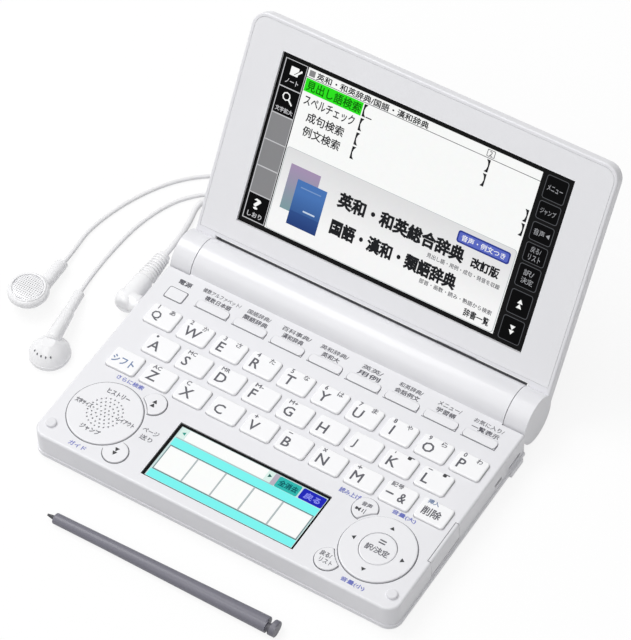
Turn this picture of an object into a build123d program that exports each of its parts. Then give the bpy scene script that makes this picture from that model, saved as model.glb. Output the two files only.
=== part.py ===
from build123d import *

import math
import os

os.makedirs("parts", exist_ok=True)

# Electronic dictionary, open, with its stylus and earphones beside it.
# Millimetres. The origin is on the table under the middle of the base.
# +X runs to the user's right, +Y from the front edge to the hinge, +Z up.

# ---------------------------------------------------------------- base
case_width = 148.6
case_depth = 106.0  # front edge to the back of the hinge barrel
barrel_radius = 9.4
hinge_drop = 2.5  # hinge axis below the keyboard deck
foot_height = 0.6
wall = 1.4
plate = 1.5  # thickness of the keyboard deck
floor_thickness = 1.3
rim_height = 2.3  # band of the bottom case that shows at the sides
rim_lip = 0.4  # how far that band stands out past the deck's sides
case_corner = 5.0
deck_edge = 0.9
ear_length = 9.15  # lid's ear and its gap, from the barrel's end to the side
barrel_end_wall = 3.0
running_gap = 0.3  # between the base and the lid's ears

# ---------------------------------------------------------------- lid
lid_open = 121.7  # degrees from closed
lid_gap = 1.3  # closed lid above the deck
lid_inset = 0.3  # lid's sides inside the base's
lid_setback = 0.3  # closed lid behind the base's front edge
lid_corner = 6.0
lid_wall = 1.3
bezel_thickness = 1.2
bezel_gap = 0.1
window_side = 14.75  # lid's side to the window
window_head = 10.65  # lid's top edge to the window
window_foot = 18.65  # from the hinge axis to the window's lower edge
screen_thickness = 2.6
screen_lap = 1.5  # how far the screen runs on behind the bezel

# ---------------------------------------------------------------- keys
key_columns = 10
key_rows = 3
key_margin = 10.643  # so that ten key pitches fit between the sides
cap_clear = (2.246, 2.67)  # deck between neighbouring letter keys
cap_corner = 1.2
cap_rise = 1.0
key_gap = 0.2
flange_gap = 0.15
flange = 0.5
flange_lip = 0.5
plunger_radius = 1.2
plunger_reach = 0.75
key_travel = 0.8
soft_travel = 0.5  # travel of the strip, pad and ring
row_starts = (11.85, 18.89, 11.67)  # first key of each row, from the left side
top_row_back = 31.23  # hinge axis to the top letter row
low_row_front = 42.03  # front edge to the lowest letter row

function_count = 8
function_margin = 37.58
function_clear = 2.76
function_depth = 3.5
function_shift = 6.32  # middle of the row, right of the middle of the case
function_back = 18.75  # hinge axis to the row
function_rise = 0.35
function_web = 1.6  # moulded strip that joins the eight keys
power_size = (7.3, 4.9)
power_inset = (10.0, 19.85)  # from the left side and from the hinge axis

pad_radius = 13.6
pad_rise = 0.5
ring_rise = 0.7
enter_radius = 6.6
enter_rise = 0.8
round_key_radius = 4.6
round_key_rise = 0.6
round_key_web = 0.9  # strip of deck between a pad and the round keys beside it
round_key_step = (12.6, 12.1)
pad_inset = (18.2, 19.5)  # from the side and from the front edge
grille_rings = 4
grille_step = 1.6  # from one ring of holes to the next
grille_hole = 0.35

# ---------------------------------------------------------------- inside
writing_side = 43.15  # case's side to the writing window
writing_depth = 25.6
writing_front = 17.45  # front edge to the middle of the writing window
writing_sink = 0.4
writing_lap = 1.8
writing_thickness = 2.7
mat_thickness = 0.5
dome_radius = 1.7
dome_rise = 0.6
board_thickness = 1.0
board_drop = 5.0  # board's top below the deck's top
board_inset = 6.8
speaker_radius = 9.0
speaker_height = 3.0
speaker_drop = 3.3
cell_radius = 7.25
cell_length = 50.5
cell_nub = 1.0
boss_inset = 3.9
boss_front = 4.5
boss_back = (15.1, 23.6)  # rearmost screws from the hinge axis, left and right
boss_radius = 2.8
post_radius = 2.2
screw_head_radius = 1.9
screw_head_height = 1.2
screw_shank_radius = 1.0
screw_reach = 3.3
screw_well = 3.0

# ---------------------------------------------------------------- battery cover
cover_inset = 13.15  # barrel's end to the cover's end
cover_reach = 12.8  # how far the cover runs forward of the hinge axis
cover_end_drop = 2.45  # below the hinge axis
cover_gap = 0.15
tongue_width = 8.0
tongue_reach = 2.2
tongue_thickness = 0.7
cover_grips = 5

# ---------------------------------------------------------------- sides and feet
card_length = 18.4
card_front = 33.6  # front edge to the middle of the card cover
card_thickness = 1.3
card_foot = 4.2  # lower end of the card cover above the table
card_gap = 0.15
card_slot = (11.4, 1.0)
port_back = 27.4
port_height = 5.8
port_size = (4.6, 1.6)
strap_back = 16.1
strap_length = 6.0
strap_z = 5.2
strap_hole = 0.8
strap_ledge = 1.1
foot_radius = 4.0
foot_sink = 0.3
rear_foot_radius = 3.5
rear_foot_inset = 6.65  # from the barrel's end
rear_foot_sink = 0.6
front_foot_inset = (12.3, 9.0)
bumper_radius = 2.0
bumper_rise = 1.0
bumper_sink = 0.8
bumper_inset = (4.45, 6.3)
pin_radius = 2.0
pin_reach = 6.5
pin_gap = 0.05

# ---------------------------------------------------------------- stylus
stylus_nib_x = -53.6
stylus_front = 20.7  # in front of the case's front edge
stylus_turn = 0.7  # degrees off the X axis
nib_length = 3.4
nib_radius = 1.0
nib_tip = 0.4
stylus_barrel = 87.0
stylus_front_radius = 1.8
stylus_tail_radius = 2.3
stylus_neck = 1.3
stylus_neck_radius = 1.6
stylus_head = 2.4

# ---------------------------------------------------------------- earphones
plug_back = 27.1  # hinge axis to the socket
plug_z = 6.2
plug_out = 6.9  # case's side to the middle of the plug's arm
plug_radius = 3.15
hub_radius = 3.4
arm_length = 15.3
relief_reach = 24.5  # socket to the end of the strain relief
relief_radius = 2.3
collar_radius = 2.6
plug_pin_radius = 1.75
plug_pin_reach = 14.0
jack_gap = 0.05
jack_length = 13.2
jack_width = 4.4
jack_height = 5.2
jack_top = 8.5
main_diameter = 2.2
branch_diameter = 1.6
coil_x = 6.0
coil_back = 38.1  # hinge axis to the middle of the coil
coil_radius = 18.1
coil_pitch = 2.7
coil_layer = 2.7
coil_turns_in = 4
coil_tuck = 0.7  # how much tighter the turn between the layers is wound
half_turns_out = 7
coil_tail = 16.0
split_length = 16.0
split_width = 6.4
split_height = 3.0
branch_spread = 3.2
bud_radius = 7.7
bud_face = 2.6
bud_depth = 8.2
stem_radius = 2.0
route_half_width = 74.3  # half width of the case that the cords' points fit
route_hinge_y = 43.6  # hinge axis that the cords' points fit

# ---------------------------------------------------------------- worked out
half_width = case_width / 2
front = -case_depth / 2
hinge_y = case_depth / 2 - barrel_radius
hinge_z = foot_height + barrel_radius
deck = hinge_z + hinge_drop
under_plate = deck - plate
floor_top = foot_height + floor_thickness
split = foot_height + rim_height
barrel_length = case_width - 2 * ear_length
barrel_half = barrel_length / 2
barrel_inner = barrel_radius - plate
barrel_room = barrel_half - barrel_end_wall
box_back = hinge_y - barrel_radius - running_gap

lid_width = case_width - 2 * lid_inset
lid_half = lid_width / 2
ear_start = barrel_half + running_gap
lid_face = -(hinge_drop + lid_gap)
lid_back = -barrel_radius
lid_foot = barrel_radius + running_gap
lid_top = hinge_y - front - lid_setback
window_width = lid_width - 2 * window_side
window_height = lid_top - window_foot - window_head
lid_angle = math.radians(lid_open)
lid_plane = Plane(
    origin=(0, hinge_y, hinge_z),
    x_dir=(1, 0, 0),
    z_dir=(0, -math.sin(lid_angle), -math.cos(lid_angle)),
)

key_pitch = (case_width - 2 * key_margin) / (key_columns - 1)
letter_row_y = hinge_y - top_row_back
row_pitch = (letter_row_y - front - low_row_front) / (key_rows - 1)
cap_width = key_pitch - cap_clear[0]
cap_depth = row_pitch - cap_clear[1]
letter_row_x = [start - half_width for start in row_starts]
function_pitch = (case_width - function_margin) / (function_count - 1)
function_width = function_pitch - function_clear
function_row_y = hinge_y - function_back
power_place = (power_inset[0] - half_width, hinge_y - power_inset[1])
pad_x = half_width - pad_inset[0]
pad_y = front + pad_inset[1]
writing_width = case_width - 2 * writing_side
writing_y = front + writing_front
flange_top = under_plate - flange_gap
enter_flange_top = flange_top - flange - soft_travel - flange_gap
board_half_width = half_width - board_inset
board_top = deck - board_drop
mat_top = board_top + mat_thickness
boss_x = half_width - boss_inset
boss_y_left = (front + boss_front, 0.7, hinge_y - boss_back[0])
boss_y_right = (front + boss_front, 0.7, hinge_y - boss_back[1])

cover_half_length = barrel_half - cover_inset
cover_front = hinge_y - cover_reach
card_y = front + card_front
port_place = (hinge_y - port_back, port_height)
strap_y = hinge_y - strap_back
rear_foot_x = barrel_half - rear_foot_inset
front_foot = (half_width - front_foot_inset[0], front + front_foot_inset[1])
bumper_place = (half_width - bumper_inset[0], front + bumper_inset[1])

stylus_nib = (stylus_nib_x, front - stylus_front)
stylus_axis_nib = stylus_front_radius
stylus_length = nib_length + stylus_barrel + stylus_neck + stylus_head
plug_y = hinge_y - plug_back
plug_axis_x = -half_width - plug_out
arm_end = plug_y + arm_length
relief_end = plug_y + relief_reach
coil_y = hinge_y + coil_back
coil_inner = coil_radius - coil_turns_in * coil_pitch
split_start = coil_x + coil_tail
split_end = split_start + split_length
split_y = coil_y - coil_inner - half_turns_out * coil_pitch / 2


def row_places(names, first_x, y):
    """Pairs each key's name with its place along one row of letter keys."""
    return {name: (first_x + i * key_pitch, y) for i, name in enumerate(names)}


letter_places = {
    **row_places("qwertyuiop", letter_row_x[0], letter_row_y),
    **row_places("asdfghjkl", letter_row_x[1], letter_row_y - row_pitch),
    **row_places(
        ["shift", *"zxcvbnm", "dash", "delete"],
        letter_row_x[2],
        letter_row_y - 2 * row_pitch,
    ),
}
function_places = [
    ((i - (function_count - 1) / 2) * function_pitch + function_shift, function_row_y)
    for i in range(function_count)
]
round_places = {
    "page_up_key": (-pad_x + round_key_step[0], pad_y + round_key_step[1]),
    "page_down_key": (-pad_x + round_key_step[0], pad_y - round_key_step[1]),
    "voice_key": (pad_x - round_key_step[0], pad_y + round_key_step[1]),
    "back_key": (pad_x - round_key_step[0], pad_y - round_key_step[1]),
}
rocker_steps = [
    (math.cos(math.radians(a)), math.sin(math.radians(a))) for a in range(0, 360, 90)
]


def around(centre, radius):
    """The four points of a rocker at a radius round its centre."""
    return [(centre[0] + radius * x, centre[1] + radius * y) for x, y in rocker_steps]


pad_places = around((-pad_x, pad_y), pad_radius - 1.9)
ring_places = around((pad_x, pad_y), (pad_radius + enter_radius) / 2)


# ---------------------------------------------------------------- key outlines
def rounded_cap(place, width, depth, corner):
    with BuildSketch() as cap:
        with Locations(place):
            RectangleRounded(width, depth, corner)
    return cap.sketch


def disc(place, radius):
    with BuildSketch() as cap:
        with Locations(place):
            Circle(radius)
    return cap.sketch


def tucked_disc(place, radius, pad_place):
    """A round key, cut back where the pad beside it overlaps it."""
    with BuildSketch() as cap:
        with Locations(place):
            Circle(radius)
        with Locations(pad_place):
            Circle(pad_radius + 2 * key_gap + round_key_web, mode=Mode.SUBTRACT)
    return cap.sketch


letter_caps = {
    name: rounded_cap(place, cap_width, cap_depth, cap_corner)
    for name, place in letter_places.items()
}
function_caps = [
    rounded_cap(place, function_width, function_depth, cap_corner)
    for place in function_places
]
power_cap = rounded_cap(power_place, *power_size, 0.6)
round_caps = {
    name: tucked_disc(place, round_key_radius, (math.copysign(pad_x, place[0]), pad_y))
    for name, place in round_places.items()
}
pad_cap = disc((-pad_x, pad_y), pad_radius)
ring_cap = disc((pad_x, pad_y), pad_radius)
enter_cap = disc((pad_x, pad_y), enter_radius)
deck_caps = [
    *letter_caps.values(),
    *function_caps,
    power_cap,
    *round_caps.values(),
    pad_cap,
    ring_cap,
]


# ---------------------------------------------------------------- base shells
def base_outline(grow=0.0, inset=0.0):
    """Plan of the base: full width up to the ears, narrower beside them."""
    with BuildSketch() as outline:
        with BuildSketch(mode=Mode.PRIVATE) as wide:
            low = front - grow + inset
            high = box_back - inset
            with Locations((0, (low + high) / 2)):
                Rectangle(case_width + 2 * grow - 2 * inset, high - low)
            fillet(wide.vertices().group_by(Axis.Y)[0], case_corner + grow - inset)
        add(wide.sketch)
        back = hinge_y - box_back + inset
        with Locations((0, hinge_y - back / 2)):
            side = barrel_end_wall if inset else 0.0
            Rectangle(barrel_length - 2 * side, back)
    return outline.sketch


def barrel(radius, half_length, mode=Mode.ADD):
    """A cylinder along the hinge axis, into the part being built."""
    with BuildSketch(Plane.YZ) as section:
        with Locations((hinge_y, hinge_z)):
            Circle(radius)
    extrude(section.sketch, amount=half_length, both=True, mode=mode)


def block(low, high, mode=Mode.ADD):
    """A box between two corners, into the part being built."""
    size = [b - a for a, b in zip(low, high)]
    middle = tuple((a + b) / 2 for a, b in zip(low, high))
    with Locations(middle):
        Box(*size, mode=mode)


def post(place, radius, low, high, mode=Mode.ADD):
    """An upright cylinder from one height to another."""
    with BuildSketch(Plane.XY.offset(low)) as section:
        with Locations(place):
            Circle(radius)
    extrude(section.sketch, amount=high - low, mode=mode)


boss_places = [(-boss_x, y) for y in boss_y_left] + [(boss_x, y) for y in boss_y_right]
side_face = Plane(origin=(half_width, 0, 0), x_dir=(0, 1, 0), z_dir=(1, 0, 0))

with BuildPart() as deck_panel:
    with BuildSketch(Plane.XY.offset(split)):
        add(base_outline())
    extrude(amount=deck - split)
    top_edges = deck_panel.edges().group_by(Axis.Z)[-1]
    fillet([e for e in top_edges if e.center().Y < box_back - 1], deck_edge)
    barrel(barrel_radius, barrel_half)
    barrel(barrel_inner, barrel_room, Mode.SUBTRACT)
    with BuildSketch(Plane.XY.offset(split - 1)):
        add(base_outline(inset=wall))
    extrude(amount=under_plate - split + 1, mode=Mode.SUBTRACT)
    block(
        (-half_width, hinge_y, 0),
        (half_width, hinge_y + case_depth, hinge_z),
        Mode.SUBTRACT,
    )
    block((-half_width, front, 0), (half_width, hinge_y, split), Mode.SUBTRACT)
    # holes for the keys and for the writing window
    with BuildSketch(Plane.XY.offset(under_plate)):
        for cap in deck_caps:
            offset(cap, amount=key_gap, mode=Mode.ADD)
        with Locations((0, writing_y)):
            Rectangle(writing_width, writing_depth)
    extrude(amount=plate, mode=Mode.SUBTRACT)
    # posts that the case screws bite in
    for place in boss_places:
        post(place, post_radius, board_top - board_thickness, under_plate)
        post(
            place,
            screw_shank_radius,
            board_top - board_thickness,
            under_plate - 1.0,
            Mode.SUBTRACT,
        )
    # ribs at the ends of the cells
    rib_x = cell_length + 0.6
    for side in (-1, 1):
        with BuildSketch(Plane.YZ.offset(side * (rib_x + 0.6))):
            with Locations((hinge_y, hinge_z)):
                Circle(barrel_inner + 0.2)
            with Locations((hinge_y, hinge_z - barrel_radius)):
                Rectangle(4 * barrel_radius, 2 * barrel_radius, mode=Mode.SUBTRACT)
        extrude(amount=0.6, both=True)
    # card door: a pocket through the side and a slotted wall behind it
    block(
        (
            half_width - card_thickness - card_gap - wall,
            card_y - card_length / 2 - 1.5,
            card_foot,
        ),
        (
            half_width - card_thickness - card_gap,
            card_y + card_length / 2 + 1.5,
            under_plate + 0.1,
        ),
    )
    block(
        (
            half_width - card_thickness - card_gap,
            card_y - card_length / 2 - card_gap,
            card_foot - card_gap,
        ),
        (half_width + 1, card_y + card_length / 2 + card_gap, deck + 1),
        Mode.SUBTRACT,
    )
    with BuildSketch(side_face):
        with Locations((card_y, (card_foot + under_plate) / 2)):
            SlotOverall(*card_slot)
    extrude(amount=-2 * (card_thickness + wall), mode=Mode.SUBTRACT)
    # data port, strap eyes and the groove between them, headphone socket
    with BuildSketch(side_face):
        with Locations(port_place):
            RectangleRounded(*port_size, 0.4)
    extrude(amount=-wall - 0.1, mode=Mode.SUBTRACT)
    with BuildSketch(side_face):
        with Locations((strap_y, strap_z)):
            SlotOverall(strap_length + 2 * strap_hole, 2 * strap_hole)
    extrude(amount=-wall / 2, mode=Mode.SUBTRACT)
    with BuildSketch(side_face):
        with Locations((strap_y, strap_z)):
            with GridLocations(strap_length, 1, 2, 1):
                Circle(strap_hole)
    extrude(amount=-wall - 0.1, mode=Mode.SUBTRACT)
    with BuildSketch(Plane.YZ.offset(-half_width)):
        with Locations((plug_y, plug_z)):
            Circle(collar_radius + 0.3)
    extrude(amount=2 * wall, mode=Mode.SUBTRACT)
    # pin holes in the barrel's end walls, seats of the bumpers
    barrel(pin_radius, barrel_half + 1, Mode.SUBTRACT)
    for side in (-1, 1):
        post(
            (side * bumper_place[0], bumper_place[1]),
            bumper_radius,
            deck - bumper_sink,
            deck + 1,
            Mode.SUBTRACT,
        )


def cover_section(low_y, end_drop, outer, inner, base_z, top_z):
    """Section of the battery cover: flat under the case, then round the barrel."""
    outer_end = -math.asin(end_drop / outer)
    inner_end = -math.asin(end_drop / inner)

    def on(radius, angle):
        return (
            hinge_y + radius * math.cos(angle),
            hinge_z + radius * math.sin(angle),
        )

    def halfway(angle):
        return (angle - math.pi / 2) / 2

    with BuildSketch(Plane.YZ) as section:
        with BuildLine():
            Polyline((hinge_y, top_z), (low_y, top_z), (low_y, base_z), (hinge_y, base_z))
            if abs(base_z - hinge_z + outer) > 1e-6:
                Line((hinge_y, base_z), (hinge_y, hinge_z - outer))
            ThreePointArc(
                (hinge_y, hinge_z - outer),
                on(outer, halfway(outer_end)),
                on(outer, outer_end),
            )
            Line(on(outer, outer_end), on(inner, inner_end))
            ThreePointArc(
                on(inner, inner_end),
                on(inner, halfway(inner_end)),
                (hinge_y, hinge_z - inner),
            )
            if abs(top_z - hinge_z + inner) > 1e-6:
                Line((hinge_y, hinge_z - inner), (hinge_y, top_z))
        make_face()
    return section.sketch


with BuildPart() as bottom_case:
    with BuildSketch(Plane.XY.offset(foot_height)):
        add(base_outline(grow=rim_lip))
    extrude(amount=rim_height)
    low_edges = bottom_case.edges().group_by(Axis.Z)[0]
    fillet([e for e in low_edges if e.center().Y < box_back - 1], deck_edge)
    with BuildSketch(Plane.YZ):
        with Locations((hinge_y, hinge_z)):
            Circle(barrel_radius)
        with Locations((hinge_y - case_depth / 2, hinge_z)):
            Rectangle(case_depth, case_depth, mode=Mode.SUBTRACT)
        with Locations((hinge_y, hinge_z + case_depth / 2)):
            Rectangle(case_depth, case_depth, mode=Mode.SUBTRACT)
    extrude(amount=barrel_half, both=True)
    barrel(barrel_inner, barrel_room, Mode.SUBTRACT)
    with BuildSketch(Plane.XY.offset(floor_top)):
        add(base_outline(inset=wall))
    extrude(amount=rim_height, mode=Mode.SUBTRACT)
    # strap ledge on the right side
    block(
        (half_width - 0.5, strap_y - strap_length / 2 - 1, foot_height),
        (half_width + strap_ledge, strap_y + strap_length / 2 + 1, split),
    )
    # screw bosses
    for place in boss_places:
        post(place, boss_radius, foot_height, split)
        post(place, post_radius, split, board_top - board_thickness)
        post(place, screw_head_radius + 0.2, 0, foot_height + screw_well, Mode.SUBTRACT)
        post(place, screw_shank_radius + 0.15, 0, board_top, Mode.SUBTRACT)
    # ring that carries the speaker, posts that carry the board
    speaker_foot = deck - speaker_drop - speaker_height
    post((-pad_x, pad_y), speaker_radius - 2, floor_top, speaker_foot)
    post((-pad_x, pad_y), speaker_radius - 3, floor_top, speaker_foot, Mode.SUBTRACT)
    for x in (-30, 30):
        for y in (-15, 25):
            post((x, y), post_radius, floor_top, board_top - board_thickness)
    # pin holes, battery hatch, seats of the feet
    barrel(pin_radius, barrel_half + 1, Mode.SUBTRACT)
    hatch = cover_section(
        cover_front - cover_gap,
        cover_end_drop - cover_gap,
        barrel_radius + 1,
        barrel_inner - 0.5,
        foot_height - 1,
        floor_top + 0.5,
    )
    extrude(hatch, amount=cover_half_length + cover_gap, both=True, mode=Mode.SUBTRACT)
    for side in (-1, 1):
        post(
            (side * front_foot[0], front_foot[1]),
            foot_radius,
            0,
            foot_height + foot_sink,
            Mode.SUBTRACT,
        )
        post(
            (side * rear_foot_x, hinge_y),
            rear_foot_radius,
            0,
            foot_height + rear_foot_sink,
            Mode.SUBTRACT,
        )

with BuildPart() as battery_cover:
    curved_plate = cover_section(
        cover_front,
        cover_end_drop,
        barrel_radius,
        barrel_radius - wall,
        foot_height,
        foot_height + wall,
    )
    extrude(curved_plate, amount=cover_half_length, both=True)
    # tongues that hook over the floor
    for x in (-cover_half_length / 2, cover_half_length / 2):
        block(
            (x - tongue_width / 2, cover_front - tongue_reach, floor_top + cover_gap),
            (
                x + tongue_width / 2,
                cover_front + 2,
                floor_top + cover_gap + tongue_thickness,
            ),
        )
        block(
            (x - tongue_width / 2, cover_front, foot_height + 0.5),
            (x + tongue_width / 2, cover_front + 2, floor_top + cover_gap + 0.3),
        )
    # finger grooves
    for i in range(cover_grips):
        y = cover_front + 3 + 1.6 * i
        block((-9, y - 0.3, 0), (9, y + 0.3, foot_height + 0.3), Mode.SUBTRACT)

# ---------------------------------------------------------------- base, inside
with BuildPart() as batteries:
    for x in (-cell_length - 0.1, 0.1):
        with BuildSketch(Plane.YZ.offset(x)):
            with Locations((hinge_y, hinge_z)):
                Circle(cell_radius)
        extrude(amount=cell_length - cell_nub)
        with BuildSketch(Plane.YZ.offset(x + cell_length - cell_nub)):
            with Locations((hinge_y, hinge_z)):
                Circle(cell_radius / 3)
        extrude(amount=cell_nub)

with BuildPart() as circuit_board:
    board_back = box_back - wall - 1.0
    board_front = front + wall + 1.0
    block(
        (-board_half_width, board_front, board_top - board_thickness),
        (board_half_width, board_back, board_top),
    )
    jack_face = -half_width + wall + jack_gap
    block(
        (jack_face, plug_y - jack_width / 2, jack_top - jack_height),
        (jack_face + jack_length, plug_y + jack_width / 2, jack_top),
    )
    for place in boss_places:
        post(place, boss_radius + 0.3, 0, deck, Mode.SUBTRACT)
    post((-pad_x, pad_y), speaker_radius + 0.3, 0, deck, Mode.SUBTRACT)
    with BuildSketch(Plane.YZ.offset(-half_width)):
        with Locations((plug_y, plug_z)):
            Circle(plug_pin_radius + jack_gap)
    extrude(amount=plug_pin_reach + 3, mode=Mode.SUBTRACT)
    # chips on the underside
    for x, y, size in ((-12, 4, 14), (14, -4, 11), (38, 12, 9)):
        block(
            (x - size / 2, y - size / 2, board_top - board_thickness - 1.2),
            (x + size / 2, y + size / 2, board_top - board_thickness),
        )

with BuildPart() as key_mat:
    block(
        (-board_half_width, board_front, board_top),
        (board_half_width, board_back, mat_top),
    )
    dome_places = [
        *letter_places.values(),
        *function_places,
        power_place,
        *round_places.values(),
        *pad_places,
        *ring_places,
        (pad_x, pad_y),
    ]
    with BuildSketch(Plane.XY.offset(mat_top)):
        with Locations(*dome_places):
            Circle(dome_radius)
    extrude(amount=dome_rise)
    post((-pad_x, pad_y), speaker_radius + 0.3, 0, deck, Mode.SUBTRACT)
    for place in boss_places:
        post(place, boss_radius + 0.3, 0, deck, Mode.SUBTRACT)
    block(
        (-half_width, plug_y - jack_width / 2 - 0.1, 0),
        (jack_face + jack_length + 0.1, plug_y + jack_width / 2 + 0.1, deck),
        Mode.SUBTRACT,
    )
    block(
        (-writing_width / 2 - writing_lap - 0.3, board_front - 1, 0),
        (writing_width / 2 + writing_lap + 0.3, writing_y + writing_depth / 2 + 2.1, deck),
        Mode.SUBTRACT,
    )

with BuildPart() as writing_screen:
    with BuildSketch(Plane.XY.offset(under_plate - 0.1)):
        with Locations((0, writing_y)):
            Rectangle(writing_width + 2 * writing_lap, writing_depth + 2 * writing_lap)
    extrude(amount=-writing_thickness)
    with BuildSketch(Plane.XY.offset(under_plate - 0.1)):
        with Locations((0, writing_y)):
            Rectangle(writing_width - 2 * key_gap, writing_depth - 2 * key_gap)
    extrude(amount=plate + 0.1 - writing_sink)

with BuildPart() as speaker_unit:
    post((-pad_x, pad_y), speaker_radius, speaker_foot, speaker_foot + speaker_height)
    top_edge = speaker_unit.edges().group_by(Axis.Z)[-1]
    fillet(top_edge, 0.8)
    post(
        (-pad_x, pad_y),
        speaker_radius - 2.5,
        speaker_foot + speaker_height - 0.6,
        deck,
        Mode.SUBTRACT,
    )

with BuildPart() as rubber_feet:
    for side in (-1, 1):
        post(
            (side * front_foot[0], front_foot[1]), foot_radius, 0, foot_height + foot_sink
        )
        post(
            (side * rear_foot_x, hinge_y),
            rear_foot_radius,
            0,
            foot_height + rear_foot_sink,
        )
        post(
            (side * bumper_place[0], bumper_place[1]),
            bumper_radius,
            deck - bumper_sink,
            deck + bumper_rise,
        )
    fillet(rubber_feet.edges().group_by(Axis.Z)[-1], 0.5)

with BuildPart() as case_screws:
    head_top = foot_height + screw_well
    for place in boss_places:
        post(place, screw_head_radius, head_top - screw_head_height, head_top)
        post(
            place,
            screw_shank_radius - 0.02,
            head_top,
            board_top - board_thickness + screw_reach,
        )
        with BuildSketch(Plane.XY.offset(head_top - screw_head_height)):
            with Locations(place):
                Rectangle(2.0, 0.5)
                Rectangle(0.5, 2.0)
        extrude(amount=0.6, mode=Mode.SUBTRACT)

with BuildPart() as hinge_pins:
    for side in (-1, 1):
        with BuildSketch(Plane.YZ.offset(side * barrel_room)):
            with Locations((hinge_y, hinge_z)):
                Circle(pin_radius)
        extrude(amount=side * (barrel_end_wall + running_gap + pin_reach))

with BuildPart() as card_cover:
    low_y = card_y - card_length / 2
    card_axis_x = half_width - card_thickness / 2
    card_axis_z = card_foot + card_thickness / 2
    with BuildSketch(Plane.XZ.offset(-low_y)):
        with Locations((card_axis_x, (card_axis_z + deck) / 2)):
            Rectangle(card_thickness, deck - card_axis_z)
        with Locations((card_axis_x, card_axis_z)):
            Circle(card_thickness / 2)
    extrude(amount=-card_length)
    outer_top = card_cover.edges().filter_by(Axis.Y).group_by(Axis.Z)[-1]
    fillet(outer_top.sort_by(Axis.X)[-1], deck_edge)

# ---------------------------------------------------------------- keys
pieces = {
    "deck_panel": deck_panel.part,
    "bottom_case": bottom_case.part,
    "battery_cover": battery_cover.part,
    "batteries": batteries.part,
    "circuit_board": circuit_board.part,
    "key_mat": key_mat.part,
    "writing_screen": writing_screen.part,
    "speaker_unit": speaker_unit.part,
    "rubber_feet": rubber_feet.part,
    "case_screws": case_screws.part,
    "hinge_pins": hinge_pins.part,
    "card_cover": card_cover.part,
}


def pressed_key(caps, rise, plungers, edge, web=None):
    """Caps through the deck, a flange behind it and plungers under the flange."""
    with BuildPart() as key:
        with BuildSketch(Plane.XY.offset(flange_top)):
            for cap in caps:
                add(cap)
        extrude(amount=deck + rise - flange_top)
        fillet(key.edges().group_by(Axis.Z)[-1], edge)
        with BuildSketch(Plane.XY.offset(flange_top)):
            for cap in caps:
                offset(cap, amount=flange_lip, mode=Mode.ADD)
            if web:
                with Locations(web[0]):
                    Rectangle(*web[1])
        extrude(amount=-flange)
        with BuildSketch(Plane.XY.offset(flange_top - flange)):
            with Locations(*plungers):
                Circle(plunger_radius)
        extrude(amount=-plunger_reach)
    return key.part


for name, cap in letter_caps.items():
    pieces[f"key_{name}"] = pressed_key([cap], cap_rise, [letter_places[name]], 0.5)

strip_middle = (function_places[0][0] + function_places[-1][0]) / 2
strip_length = (function_count - 1) * function_pitch + function_width
pieces["function_key_strip"] = pressed_key(
    function_caps,
    function_rise,
    function_places,
    0.2,
    web=((strip_middle, function_row_y), (strip_length, function_web)),
)
pieces["power_key"] = pressed_key([power_cap], function_rise, [power_place], 0.2)
for name, cap in round_caps.items():
    pieces[name] = pressed_key([cap], round_key_rise, [round_places[name]], 0.25)

with BuildPart() as quick_pad:
    add(pressed_key([pad_cap], pad_rise, pad_places, 0.4))
    holes = [(-pad_x, pad_y)]
    for ring in range(1, grille_rings + 1):
        for i in range(6 * ring):
            if ring == grille_rings and i % (3 * ring) == 0:
                continue  # the captions at the two sides stand here
            angle = math.radians(60 * i / ring)
            reach = ring * grille_step
            holes.append((reach * math.cos(angle) - pad_x, reach * math.sin(angle) + pad_y))
    with BuildSketch(Plane.XY.offset(flange_top - flange)):
        with Locations(*holes):
            Circle(grille_hole)
    extrude(amount=plate + flange + pad_rise + 1, mode=Mode.SUBTRACT)
pieces["quick_pad"] = quick_pad.part

with BuildPart() as cursor_ring:
    add(pressed_key([ring_cap], ring_rise, ring_places, 0.4))
    post((pad_x, pad_y), enter_radius + key_gap, 0, 2 * deck, Mode.SUBTRACT)
pieces["cursor_ring"] = cursor_ring.part

with BuildPart() as enter_key:
    post((pad_x, pad_y), enter_radius, enter_flange_top, deck + enter_rise)
    fillet(enter_key.edges().group_by(Axis.Z)[-1], 0.4)
    post(
        (pad_x, pad_y),
        enter_radius + flange_lip,
        enter_flange_top - flange,
        enter_flange_top,
    )
pieces["enter_key"] = enter_key.part

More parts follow.
